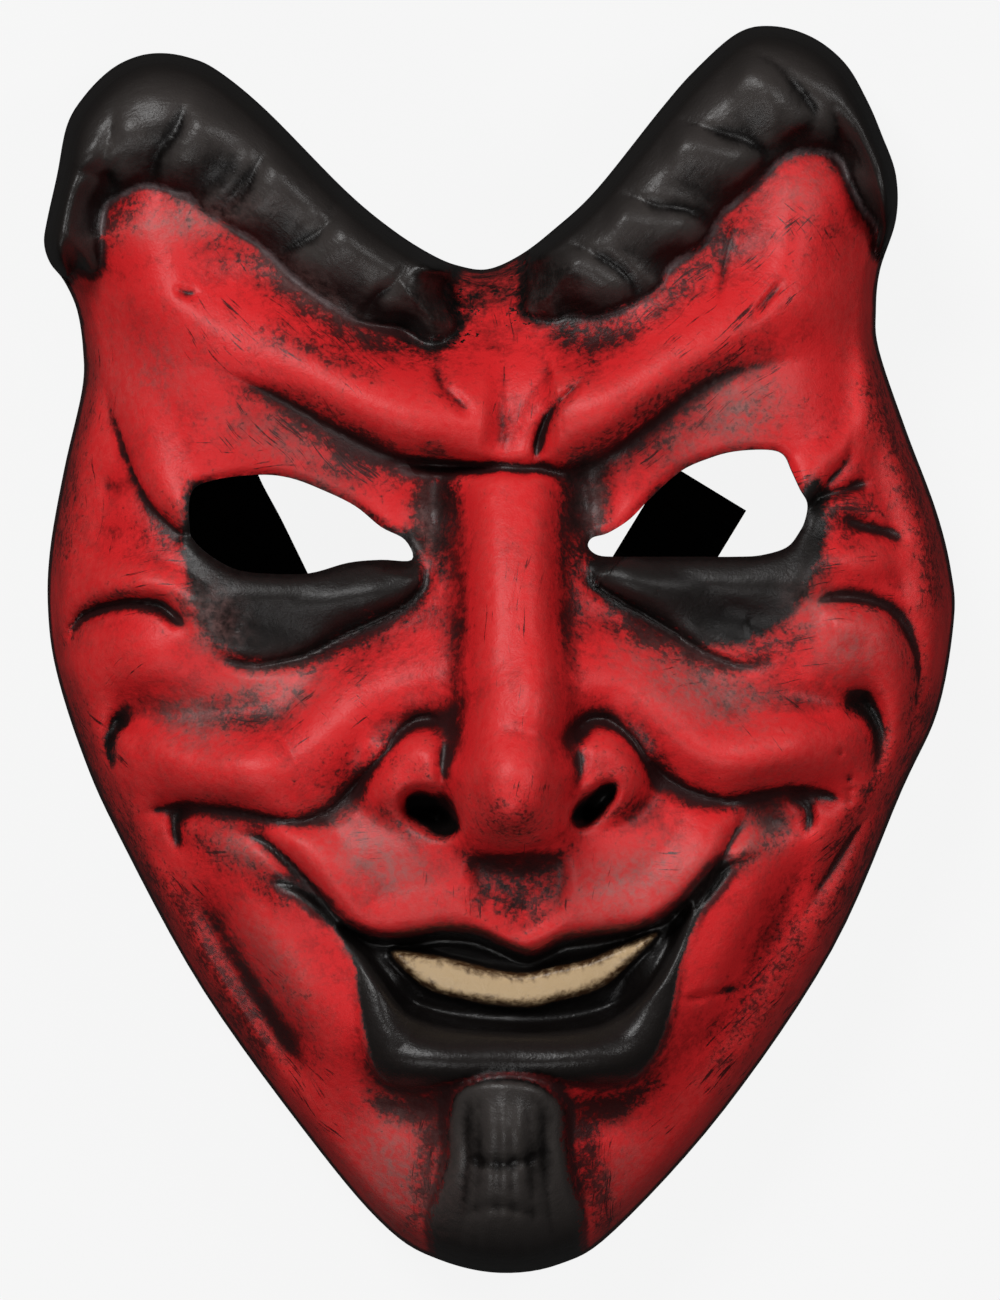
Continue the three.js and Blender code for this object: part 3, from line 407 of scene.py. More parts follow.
# The plan of the mask as it is seen from in front, in millimetres from the middle of the picture.
RIM_PLAN = (
    (-2.4, 76.2), (-8, 76.8), (-13.5, 79), (-21.4, 84), (-31, 92), (-46.8, 108), (-56.6, 116),
    (-62.5, 118.6), (-68, 119.4), (-73, 118.6), (-78, 116), (-83, 111), (-86.6, 105), (-88.6, 95),
    (-90.6, 86), (-91.2, 81.4), (-90, 77.4), (-87.2, 73.8), (-84.6, 68), (-83.4, 60), (-83.6, 52),
    (-87.2, 36), (-90, 20), (-90.4, 8), (-88.8, -4), (-83.8, -20), (-76.8, -36), (-59.4, -68),
    (-36.2, -100), (-22.2, -116), (-12, -122), (0, -124.6), (12, -122.8), (23, -116), (44.8, -92),
    (66.4, -60), (80.4, -28), (87.6, -12), (90.8, 6), (90.2, 16), (87.2, 28), (81.2, 44),
    (75.8, 60), (75.2, 68), (76, 76), (79.2, 86), (79.2, 95), (76.4, 103), (73.4, 110),
    (69, 117.4), (62.4, 122.6), (54.6, 124.8), (47.5, 123.4), (39, 116), (32, 108), (19.2, 92),
    (10.6, 84), (4, 79),
)
LEFT_EYE_PLAN = (
    (-62, 25), (-61.5, 31.5), (-57.5, 33.8), (-48.5, 35), (-42, 34.4), (-35.5, 32), (-29, 28.8),
    (-23.8, 24.6), (-19, 22), (-17.6, 18), (-23.8, 18), (-30.3, 17.4), (-38, 15.3), (-46, 15.2),
    (-52.4, 16), (-57.6, 18.7), (-61.2, 22),
)
RIGHT_EYE_PLAN = (
    (17.6, 20.6), (18.4, 22.4), (21.6, 23.4), (26, 26.2), (30.4, 30.7), (36.2, 35.8), (42, 38.4),
    (47, 39.7), (53.4, 40), (56.6, 39), (58.2, 35.8), (59.8, 32.2), (61.4, 29.4), (61, 26.2),
    (59.8, 23.6), (57.2, 20.5), (52, 18.9), (47, 18.6), (40, 18.6), (31.8, 18.6), (24, 18.6),
    (19.6, 18.9),
)
MOUTH_PLAN = (
    (-31, -55.4), (-25.6, -57.4), (-20, -57.8), (-12, -56.6), (-5, -57), (0, -59), (4, -61),
    (6, -61.2), (9, -60), (12.4, -58.2), (20, -57.2), (28, -55.8), (34.4, -52), (37, -51.6),
    (34.6, -60), (30, -67.6), (22, -73), (12, -75.6), (0, -76), (-14, -73.6), (-21, -69.6),
    (-27, -61),
)
TEETH_PLAN = (
    (-21.6, -60.4), (-15.2, -60.8), (-8, -62.2), (-1, -64), (5.2, -64.6), (10.8, -63.4),
    (18, -61.8), (23.6, -59.4), (31.4, -56.6), (26.4, -62.2), (21.6, -66.6), (17, -68.8),
    (11.2, -70.2), (6.2, -71.4), (-1, -71), (-7.6, -69.8), (-13.8, -68), (-18.4, -64.6),
)
BEARD_PLAN = (
    (-8.8, -89), (-4.8, -86.4), (1, -85.6), (6.6, -86.4), (10.6, -89), (12.8, -92.4), (13, -99.2),
    (14.2, -106.7), (16, -113), (16.2, -120), (16.4, -128), (-13.4, -128), (-12.9, -121),
    (-14, -114.6), (-12.1, -108), (-10.3, -101.7), (-10.3, -94.3),
)
LIP_PLAN = (
    (-36.4, -52.7), (-33.2, -55.9), (-30.8, -59.6), (-29, -63.6), (-28.4, -68.8), (-27, -76.4),
    (-25.6, -82), (-23.2, -85.8), (-19, -87.6), (-12.8, -86.8), (-7.6, -85.8), (-1, -84.4),
    (6.6, -84.6), (13.2, -86),
    (20.2, -86.8), (26.4, -85.6), (29.6, -82.6), (32, -78.4), (34.4, -71.2), (35.8, -64.2),
    (38.2, -57), (41, -51), (46, -44.6), (44.6, -42), (40, -46.4), (36, -51), (31.4, -54.6),
    (25.4, -56.4), (18.4, -57.4), (13, -58.4), (8.4, -60.8), (4.8, -61), (0.2, -59.2),
    (-4.4, -57), (-11.4, -56.4), (-16.8, -57.2), (-22.4, -57.8), (-27.4, -56.6), (-31.6, -54),
    (-35.2, -50.2), (-39, -48), (-43.8, -45.8), (-44.4, -47), (-40.1, -49.6),
)
LEFT_HORN_PLAN = (
    (-85.8, 74.8), (-84.8, 76.4), (-83, 75.6), (-81.6, 75.2), (-80.4, 76.4), (-79.8, 80),
    (-79.8, 84.6), (-78.6, 89.2), (-74, 92), (-70.4, 93), (-66.2, 92.2), (-61.8, 90.6),
    (-59.8, 87.8), (-55.4, 85.6), (-48, 81), (-38.8, 72.6), (-29, 66.2), (-24, 65.2),
    (-19.6, 64.4), (-14.8, 61.4), (-10.8, 61.8), (-8.4, 65), (-9.6, 69), (-11, 73), (-8, 80),
    (0, 130), (-60, 170), (-130, 130), (-130, 60), (-96, 64), (-90, 70),
)
RIGHT_HORN_PLAN = (
    (4.8, 69.4), (5.8, 67), (10.8, 66), (13.8, 67), (20.2, 67), (26.6, 69.2), (31.8, 72.4),
    (34.2, 77), (40.6, 81.4), (45, 87.8), (50.2, 92.2), (56, 98), (59.8, 99.8), (64.8, 99.8),
    (68, 98), (70, 93.4), (72.6, 88.4), (75.4, 84.6), (76.4, 78.2), (90, 76), (130, 90),
    (110, 150), (50, 170), (-4, 130), (4, 84), (5, 74),
)
LEFT_HORN_LINE = (
    (-9, 70), (-20, 73), (-34, 82), (-48, 93), (-62, 103), (-74, 102), (-81, 94), (-85, 86), (-86.2, 80),
)
RIGHT_HORN_LINE = (
    (9, 72), (20, 77), (30, 87), (40, 98), (49, 108), (58, 111), (67, 106), (73.4, 98), (76, 88),
    (76.4, 81),
)

FOREHEAD_RELIEF = (
    Mound((-66, 56), (16, 20), 4),
    Mound((64, 62), (15, 24), 4.5),
    Mound((3, 56), (15, 14), 2.5),
    Stroke(((-70, 78), (-60, 76), (-47, 75), (-34, 69), (-21, 63), (-10, 57)),
        (-1, -2, -2.6, -3, -3, -2), 6.5, fade=(0.2, 0.15)),
    Stroke(((10, 57), (20, 60), (31, 65.6), (42, 74), (51, 83), (58, 91)),
        (-2, -3, -3, -3, -2.6, -2), 7, fade=(0.15, 0.25)),
    Stroke(((-68, 63), (-56, 61), (-44, 58), (-33, 53.6), (-21, 48.4), (-9, 43.6)),
        (1.6, 2.8, 3.6, 4.2, 4.8, 4.6), 15, 9, 2.2, (0.25, 0.06)),
    Stroke(((12, 43.6), (22, 49), (32, 56.4), (42, 63.6), (50, 69), (58, 74)),
        (4.6, 4.8, 4.6, 4, 3.2, 2), 15, 9, 2.2, (0.06, 0.25)),
    Fold(((-66, 59), (-56, 56), (-43, 50), (-31, 43.4), (-19, 38.2), (-8, 37), (1, 36.6)),
        (1, 2, 3.6, 5, 5.4, 5, 4), 8, 19, 1.6, 6, (0.4, 0.08)),
    Fold(((7, 36), (15, 36.2), (22.6, 40), (31, 46.2), (38.6, 52), (46, 55.8), (56, 58), (66, 59)),
        (4, 5, 5.4, 5.4, 5, 3.6, 2, 1), 8, 19, 1.6, 6, (0.08, 0.4)),
    Stroke(((-24, 39.4), (-17.4, 37.6), (-7.4, 36.8), (0, 36.6), (6, 36.2), (14, 36.6)),
        (-2.4, -3, -3.4, -3, -3, -3), 1.6, fade=(0.25, 0.15)),
    Fold(((6.4, 37.4), (7.4, 42), (9, 46), (11.4, 49.6), (14.4, 52.4), (18, 56)), 1.0, 2, 4, 1.2, 2.4,
        (0.1, 0.3)),
    Stroke(((-13.6, 58.6), (-11.4, 52.6), (-8.4, 49.8), (-5, 46)), -1.6, 1.5, fade=(0.3, 0.3)),
    Stroke(((57.4, 74.6), (53.4, 70), (49, 64.6)), -1.5, 1.1, fade=(0.3, 0.5)),
    Stroke(((47, 86.4), (45, 78), (43.8, 68.6)), -0.6, 0.8),
    Stroke(((-64.8, 72.4), (-62.6, 71.2), (-60.6, 71.6)), -1.2, 0.9),
)
EYE_RELIEF = (
    Mound((-34, 30), (20, 12), -4, -12, 2.4),
    Mound((38, 34), (20, 12), -4, 16, 2.4),
    Mound((-13, 28), (5.4, 10), -6),
    Mound((17.6, 29), (5.4, 10), -6),
    Stroke(((-58, 12), (-49, 10.6), (-38, 10.6), (-28, 12.6), (-20, 15.6)), (2, 2.8, 3, 2.6, 1.8), 5, 5.6,
        fade=(0.1, 0.15)),
    Stroke(((20, 16), (29, 14), (40, 13), (51, 13), (59, 16)), (1.8, 2.6, 3, 2.8, 2), 5, 5.6,
        fade=(0.15, 0.1)),
    Mound((-36, 3.4), (18, 6), -3.2, 12),
    Mound((38, 5.8), (17, 6), -3.2, -10),
    Mound((-58.4, 7), (4.4, 7), 2.6, 20),
    Mound((61, 14), (4.4, 7), 2.4, -20),
    Fold(((-60, 3), (-55, -1.4), (-48, -2.6), (-38.8, -0.6), (-30.7, 3.6), (-24.5, 6.4), (-18.4, 9.8),
        (-15.4, 14), (-15.6, 19)), (1, 2, 2.6, 2.6, 2.8, 3, 3, 2.6, 2), 3.6, 8, 1.2, 3.4, (0.2, 0.1)),
    Fold(((17.6, 18), (19, 13.6), (24.4, 10), (30.6, 6.4), (36.8, 2.4), (42, -0.8), (50, -3), (58, 0)),
        (2, 2.6, 3, 3, 2.8, 2.4, 1.6, 1), 3.6, 8, 1.2, 3.4, (0.1, 0.3)),
)
NOSE_RELIEF = (
    Stroke(((2.6, 34), (2.4, 20), (2.6, 0), (2.6, -14), (2.6, -23), (2.4, -30.6)),
        (5, 8, 10, 12, 13.6, 13.6), (8.8, 8.6, 9, 9.8, 11.2, 12), None, 4, (0.03, 0), 0.5),
    Stroke(((3, 30), (3.4, 16), (3.4, 0), (3.4, -14), (3, -26)),
        (2, 6, 9, 13, 13), (13, 15, 17, 19, 16), None, 2.2, (0.1, 0)),
    Mound((2.4, -29), (11.4, 10.6), 5, 0, 3.4),
    Mound((-18, -24.4), (9.4, 8.4), 8.6, 20, 4),
    Mound((21.6, -24), (8, 8.6), 8.6, -20, 4),
    Stroke(((-10.8, -17), (-11.2, -25), (-10.4, -33)), -2.4, 2.0, fade=(0.3, 0.2)),
    Stroke(((15.8, -18), (16, -25), (15, -32)), -2.4, 2.0, fade=(0.3, 0.2)),
    Stroke(((-18, -30.6), (-14.4, -31.6), (-10, -35)), -11, (3.0, 3.4, 2.6), None, 3, (0.1, 0.1)),
    Stroke(((15.6, -34), (19.4, -30.4), (22.4, -27.6)), -10, (1.9, 2.3, 1.7), None, 3, (0.1, 0.1)),
)
CHEEK_RELIEF = (
    Fold(((-10.6, -15.4), (-13.4, -13.4), (-16.6, -13.6), (-20.2, -16.4), (-23, -20.2), (-26.6, -24.2),
        (-30.7, -28.4), (-34.8, -32), (-40, -33.8), (-46, -33.4), (-53.2, -31.8), (-61.3, -31),
        (-68, -31.4), (-73, -33.4))[::-1],
        (1, 2.4, 4, 5, 5.4, 5.4, 5.4, 5.4, 5.2, 5, 4.4, 4, 3, 2), 7, 14, 1.6, 5, (0.08, 0.06)),
    Fold(((14.4, -19), (15.4, -16), (18, -13.6), (21.4, -13.6), (24.8, -16), (27.6, -18.9),
        (29.8, -22.2), (33.7, -25.7), (38.8, -28.3), (45, -29.8), (51, -28.9), (57.2, -27.8),
        (63.4, -28.2), (71, -30.8)),
        (2, 3, 4, 4.4, 5, 5.2, 5.4, 5.4, 5.4, 5.4, 5.2, 4.6, 3.4, 1.4), 7, 14, 1.6, 5, (0.06, 0.08)),
    Stroke(((-74, -19), (-64, -25), (-52, -24), (-41, -18.6), (-30, -9), (-18, -1)),
        (2, 3, 4, 4, 3.6, 2), 6, 7, 2.4, fade=(0.2, 0.3)),
    Stroke(((18, -1), (26, -5), (35, -14), (46, -20), (58, -20), (68, -18)),
        (1, 2, 3, 3.6, 3.4, 2), 7, 6, 2.4, fade=(0.3, 0.2)),
    Stroke(((-80, -11), (-73, -12), (-65, -13), (-55, -11.6), (-44, -7.6)), -3, 5.4, fade=(0.1, 0.4)),
    Stroke(((46, -6), (54, -9), (63, -10.6), (70, -11)), -1.2, 5, fade=(0.4, 0.1)),
)
MUZZLE_RELIEF = (
    Mound((3, -43), (32, 14), 7, 0, 2.6),
    Mound((-30, -40), (10, 7), 1.6, -30),
    Mound((32, -38), (10, 7), 1.6, 30),
    Panel(((-4, -41), (11.6, -41), (13, -50), (10, -54.6), (3, -57.6), (-3, -54.6), (-5.6, -50)), -1.8, 4),
    Fold(((-60, -37), (-54, -36), (-48, -37.4), (-42.9, -41.4), (-37.8, -46.7), (-33.2, -52.4),
        (-29, -56.2), (-23.4, -57.7), (-17, -57.2), (-10.2, -56.6), (-4, -57.8), (1, -59.8),
        (5.3, -60.9), (9.7, -59.9), (14.7, -58.1), (22, -57), (28, -56), (33.6, -53.8), (38, -49.4),
        (42.6, -44), (46.2, -37.8), (48.8, -32.4), (50.4, -29)),
        (0.6, 1.6, 2.8, 3.6, 3.6, 3.2, 2.8, 2.6, 2.4, 2.4, 2.4, 2.4, 2.4, 2.4, 2.4, 2.6, 2.8, 3.2, 3.6,
        3.6, 3, 2, 1), 3.6, 8, 1.6, 4, (0.14, 0.1)),
    Fold(((-34, -52.4), (-38.8, -48.6), (-44.5, -46.7), (-49, -47)), 1.0, 2.4, 6, 0.4, 2, (0.3, 0.4)),
    Mound((-47.6, -41.4), (5, 2.6), 1.6, -28),
    Mound((54.6, -33.6), (5.4, 4.4), -4),
    Mound((48, -40.6), (4.4, 2.4), 1.4, 40),
    Stroke(((58, -28.6), (61, -31), (62, -34), (60.6, -39)), -2.2, (2, 1.8, 1.5, 1), None, fade=(0.1, 0.5)),
    Stroke(((-61, -31.4), (-63.8, -32.6), (-64.8, -35.6), (-63.4, -42)), -2.6, (2.4, 2.2, 1.7, 1), None,
        fade=(0.1, 0.5)),
    Fold(((37.8, -53.6), (41.2, -48.4), (45.4, -43.4), (50.4, -41.4), (55, -42)), 1.2, 2.4, 5, 0.6, 2,
        (0.25, 0.4)),
    Stroke(((-28.6, -60), (-26.6, -70), (-24, -77.6), (-19, -80.8), (-8, -81.4), (3, -81.2),
            (14, -81.6), (24, -80.8), (29.6, -77), (32.4, -69), (34, -60), (38, -53)),
        (2, 4, 5.2, 5.8, 5.2, 5, 5.2, 5.8, 5.2, 4.2, 3, 1.6), 7.4, None, 3, (0.1, 0.1)),
    Stroke(((-23.4, -64), (-20, -69.6), (-14, -73.6), (-4, -75.4), (7.2, -76), (17.2, -74.4), (25.4, -70),
        (30.6, -62)), (-1.6, -2.8, -3.2, -3.2, -3.2, -3.2, -2.8, -1.6), 4.6, None, 2, (0.15, 0.15)),
    Fold(((-30.4, -60), (-28.6, -70), (-27.8, -78), (-25.2, -85), (-19, -87.6), (-10, -86.8), (0, -85.4),
        (8, -85.8), (19, -86.8), (27, -86), (32.8, -81), (35.2, -72), (36.6, -63), (39, -54)),
        (0.6, 1, 1.4, 1.8, 2, 1.8, 1.8, 1.8, 2, 1.8, 1.4, 1.2, 1, 0.6), 5, 7, 1.4, 7, (0.12, 0.12)),
    Stroke(((-61, -44), (-56, -56), (-49, -68), (-42, -79), (-34, -91)), (-2, -4.6, -6, -5.6, -2.6),
        (4, 4.4, 4.8, 4.4, 4), fade=(0.2, 0.3)),
    Stroke(((-52, -46), (-46, -58), (-39, -70), (-34, -82), (-30, -94)), (1.6, 2.8, 3.4, 3, 1.8),
        6, fade=(0.2, 0.3)),
    Stroke(((66, -34), (60, -45), (52, -60), (44, -74), (36, -88)), (-2.4, -3.4, -3.4, -2.6, -1.6),
        4.6, fade=(0.2, 0.3)),
    Stroke(((54, -42), (48, -54), (44, -66), (39, -80)), 2, 6, fade=(0.2, 0.3)),
    Stroke(((36.4, -70), (42, -69), (48, -67)), -1.0, 0.9),
    Mound((1.6, -106), (28, 16), 3),
    Mound((-17, -93), (9, 5), -3),
    Mound((21, -93), (9, 5), -3),
)
SIDE_RELIEF = (
    Mound((-76, 14), (11, 5.4), 3.4, 6, 2.6),
    Fold(((-86.6, -4.6), (-87, 1), (-84.4, 6.4), (-79.7, 9), (-73.6, 10), (-68.5, 9.5), (-65.4, 7.6),
        (-62, 4)), (0.6, 1, 1.6, 2, 2.4, 2.6, 2.4, 1.6), 3, 6, 3, 3.4, (0.2, 0.12)),
    Mound((-75, -1.6), (11.4, 8), 4.4, 8, 2.6),
    Stroke(((-74.4, -12.6), (-77.2, -15.6), (-78.5, -19.9), (-77.6, -25)), -4, 2.0, fade=(0.2, 0.4)),
    Mound((-70, -20), (7.6, 6.6), 3, 0, 2.6),
    Fold(((-69, -44), (-76, -31), (-81.4, -20), (-84.6, -10), (-86.4, 0))[::-1], (1, 2, 2.6, 2.4, 1.6),
        3.4, 6, 1.6, 3, (0.25, 0.3)),
    Fold(((-80, 62), (-79, 53), (-76, 43.3), (-73.7, 36.7), (-70.4, 30), (-66.4, 25.6), (-62, 22.4)),
        (0.6, 1.2, 1.8, 2.2, 2.4, 2.6, 2.4), 4, 8, 1.2, 5, (0.3, 0.05)),
    Stroke(((75, 66), (74, 56), (72.4, 46), (68, 34)), 3, 4, 3, fade=(0.3, 0.3)),
    Fold(((84.6, -12), (87.8, 2), (88.2, 14), (86.6, 26), (83, 38), (78.4, 50), (75, 62)),
        (1, 2, 2.4, 2.4, 2.4, 2, 1), 3, 6, 1.0, 3, (0.3, 0.2)),
    Fold(((61.4, 27), (65, 33), (69.6, 39.4), (71, 48)), (2.4, 2.2, 1.6, 0.8), 3.2, 6, 1.0, 3.4, (0.1, 0.5)),
    Stroke(((61.6, 29.6), (68, 31.6), (74, 34)), -1.5, 1.1, fade=(0.1, 0.4)),
    Stroke(((66, 26.6), (74, 24.4), (78.2, 23.2), (83, 20.4)), -1.8, 1.6, fade=(0.3, 0.4)),
    Mound((73, 18), (8, 4), 2.4, 0, 2.6),
    Fold(((61, 8.6), (66.4, 9.9), (73.6, 9.4), (78.9, 6.8), (82, 1.6), (83.4, -4.6), (82.9, -11.7),
        (81.6, -18.9), (78.7, -26), (75.4, -31.2), (70.5, -36.6), (65.4, -44.4), (61.3, -51.6),
        (57, -58.4))[::-1],
        (0.6, 1.4, 2, 2.6, 3, 3.4, 3.4, 3.4, 3.4, 3.2, 3, 2.4, 2, 1.2), 4, 7, 2.2, 4, (0.25, 0.08)),
    Mound((70.6, 0.4), (9.4, 7.4), 4.0, -15, 2.6),
    Stroke(((67.4, -9.8), (72.4, -10.2), (75.4, -14.4), (76, -19.4), (75, -24), (73.4, -29.4)),
        (-3, -4.4, -4.4, -3.6, -3, -2), (2.2, 3, 2.6, 2.2, 2, 1.8), fade=(0.15, 0.3)),
    Mound((64, -19), (9, 6.6), 2.6, 0, 2.6),
)
PITS = ((68, -20.6), (69.8, -25.8), (70, -28.2), (70, -30))
PIT_RELIEF = tuple(Mound(place, (0.8, 0.8), -1.2) for place in PITS) + (
    Mound((-77.6, 33), (2.6, 2.4), -1.6),
    Mound((-78, 24), (2.4, 1.6), -0.8),
    Mound((71.8, 33), (2.2, 1.6), -1.2),
)
MOUTH_AND_BEARD = (
    Panel(MOUTH_PLAN, -6, 3.8),
    Panel(TEETH_PLAN, 4, 2.0),
    Panel(BEARD_PLAN, 4.0, 3.4),
    Mound((1.4, -93), (8, 7), 2.4, 0, 3),
    Stroke(((1.4, -92), (1, -102), (0.6, -112), (0.4, -124)), (2.4, 2.8, 3.4, 3), (5.4, 6, 7, 7.4), None, 3,
        (0.1, 0.0)),
    Stroke(((-7.6, -101), (0, -103), (9, -100.6)), -0.9, 1.2),
    Stroke(((-8, -113), (0, -111.4), (9, -113.4)), -0.9, 1.2),
)
# The grooves between the strands of the beard, by where each starts and how it bends.
STRANDS = ((-6.4, 0.4), (-3.4, -0.5), (-1, 0.5), (2.4, -0.3), (5, 0.6), (8.4, -0.4))
BEARD_STRANDS = tuple(
    Stroke(((x, -88), (1.12 * x + bend, -104), (1.3 * x, -124)), -0.5, 0.9, fade=(0.25, 0.1))
    for x, bend in STRANDS
)
FACE_RELIEF = (
    *FOREHEAD_RELIEF, *EYE_RELIEF, *NOSE_RELIEF, *CHEEK_RELIEF, *MUZZLE_RELIEF, *SIDE_RELIEF,
    *PIT_RELIEF, *MOUTH_AND_BEARD, *BEARD_STRANDS,
)


def plate(path: Rows, height: float, roll: float, reach: float, fade: Pair, tuck: float = 0.7) -> Fold:
    """Give the edge of one horn plate, where it lies over the next."""
    return Fold(path, height, roll, reach, tuck, tuck_reach=2.4, fade=fade, blunt=1.0)


HORN_CREASES = (
    plate(((-46, 102), (-51, 92.6), (-56, 87.6), (-62, 84)), 2.1, 4.6, 9, (0.2, 0.1)),
    plate(((-30, 94), (-35, 84.6), (-43, 79.6), (-46, 76)), 2.1, 4.6, 9, (0.2, 0.1)),
    plate(((-15, 82), (-20.6, 73.6), (-25, 70.4), (-28, 64)), 2.0, 4.2, 8, (0.2, 0.1)),
    plate(((-62, 112), (-64.4, 105), (-68.6, 98), (-70, 92)), 2.3, 4.6, 9, (0.3, 0.1)),
    plate(((-76, 110), (-78, 103), (-79, 97), (-76, 90)), 1.6, 3.6, 7, (0.3, 0.2), 0.6),
    plate(((-90, 92), (-86, 95), (-82, 95.6), (-78, 94)), 1.4, 3.6, 6, (0.1, 0.2), 0.6),
    plate(((54, 98), (50, 101.6), (42, 104), (34, 106.6)), 2.3, 4.6, 9, (0.1, 0.2)),
    plate(((64, 106), (60, 112), (54, 117.6), (47, 121)), 2.3, 4.6, 9, (0.1, 0.2)),
    plate(((44, 84), (38, 87.6), (31, 89), (22, 92)), 2.1, 4.6, 9, (0.1, 0.2)),
    plate(((28, 70), (25, 75), (19, 79), (12, 82)), 2.0, 4.2, 8, (0.1, 0.2)),
    plate(((78, 92), (73, 97), (68, 104), (66, 112)), 1.6, 3.6, 7, (0.2, 0.3), 0.6),
)


class Grain(Enum):
    """Which way the dry brush ran, by the angle of its streaks to the level, in degrees."""

    FALLING = -48.0
    RISING = 42.0
    UPRIGHT = 86.0
    LEVEL = 4.0

    @property
    def layer(self) -> str:
        """Name the vertex layer that holds this way's strength."""
        return f"streaks_{self.name.lower()}"


BRUSHED = {
    Grain.FALLING: (
        Stroke(((-66, 80), (-52, 76), (-40, 67), (-28, 61), (-16, 56)), (0.4, 0.5, 0.7, 0.8, 0.6), 4),
        Stroke(((-66, 46), (-54, 44), (-40, 42), (-28, 38), (-15, 33)), (0.3, 0.5, 0.7, 0.8, 0.7), 6),
        Stroke(((-70, -38), (-62, -52), (-50, -72), (-38, -90), (-27, -104)), 0.6, 7),
        Stroke(((-82, -8), (-80, -20), (-72, -36)), 0.5, 5),
        Stroke(((-44, -6), (-32, -10), (-24, -16)), 0.4, 6),
        Mound((-44, 62), (34, 20), 0.42, -34),
        Mound((60, 84), (14, 4.6), 0.62, -16),
        Mound((-50, -74), (16, 36), 0.42, 34),
        Mound((58, -14), (20, 14), 0.34),
        Mound((38, 20), (14, 8), 0.3),
    ),
    Grain.RISING: (
        Stroke(((19, 34), (29, 39), (40, 46), (52, 53), (62, 57)), (0.6, 0.6, 0.5, 0.5, 0.3), 4.4),
        Stroke(((22, 62), (34, 70), (44, 80), (52, 90)), (0.6, 0.6, 0.5, 0.4), 4),
        Stroke(((48, 84), (58, 84), (68, 80)), 0.6, 4),
        Stroke(((70, -40), (60, -58), (48, -76), (36, -94), (24, -108)), 0.5, 7),
        Stroke(((-82, -2), (-76, -4), (-66, -10)), 0.3, 5),
        Stroke(((58, -30), (66, -36), (62, -48)), 0.5, 5),
        Stroke(((-16, -36), (-8, -48), (-2, -58)), 0.3, 7),
        Mound((44, 68), (32, 20), 0.42, 42),
        Mound((54, -76), (16, 36), 0.42, -34),
        Mound((-40, -12), (24, 12), 0.42, 20),
        Mound((-74, -10), (10, 16), 0.36),
    ),
    Grain.UPRIGHT: (
        Stroke(((-13, 38), (-13, 28), (-13, 16), (-12, 6)), (0.9, 0.8, 0.4, 0.15), 4.5),
        Stroke(((17, 37), (17, 28), (16, 16), (15.6, 4), (16, -10)), (0.9, 0.8, 0.5, 0.25, 0.15), 4),
        Stroke(((-13, -92), (-15, -104), (-17, -118)), 0.6, 5),
        Stroke(((16.6, -92), (19.6, -106), (22, -118)), 0.7, 5),
        Stroke(((-4, 72), (0, 66), (3, 60)), 0.6, 8),
        Stroke(((6, -22), (6, -34)), 0.4, 7),
        Mound((3, 6), (9, 34), 0.38),
        Mound((2, 56), (14, 18), 0.4),
        Mound((4, -46), (34, 12), 0.38),
        Mound((0, -106), (30, 22), 0.4),
        Mound((-80, 40), (8, 34), 0.4),
        Mound((82, 30), (8, 44), 0.4),
    ),
    Grain.LEVEL: (
        Stroke(((60, 32), (68, 29), (78, 24)), (0.8, 0.7, 0.4), 6, fade=(0.0, 0.3)),
        Stroke(((-72, 24), (-66, 22), (-60, 12)), (0.4, 0.7, 0.7), 6, fade=(0.2, 0.0)),
        Stroke(((40, -4), (54, 0), (64, -6)), 0.5, 8),
        Stroke(((-62, -38), (-54, -40), (-46, -40)), 0.6, 5),
        Stroke(((-36, -34), (-28, -40), (-22, -44)), 0.45, 7),
        Stroke(((36, -34), (34, -42), (38, -48)), 0.4, 6),
        Stroke(((-50, 2), (-40, -2), (-30, 0)), 0.55, 5),
        Stroke(((30, 2), (42, -2), (56, -2)), 0.5, 5),
        Stroke(((-56, -10), (-50, -13), (-44, -14)), 0.6, 6),
        Mound((-46, 40), (22, 9), 0.42, -20),
        Mound((48, -2), (26, 16), 0.4),
        Mound((-68, 14), (16, 12), 0.4),
        Mound((70, 14), (14, 16), 0.4),
    ),
}

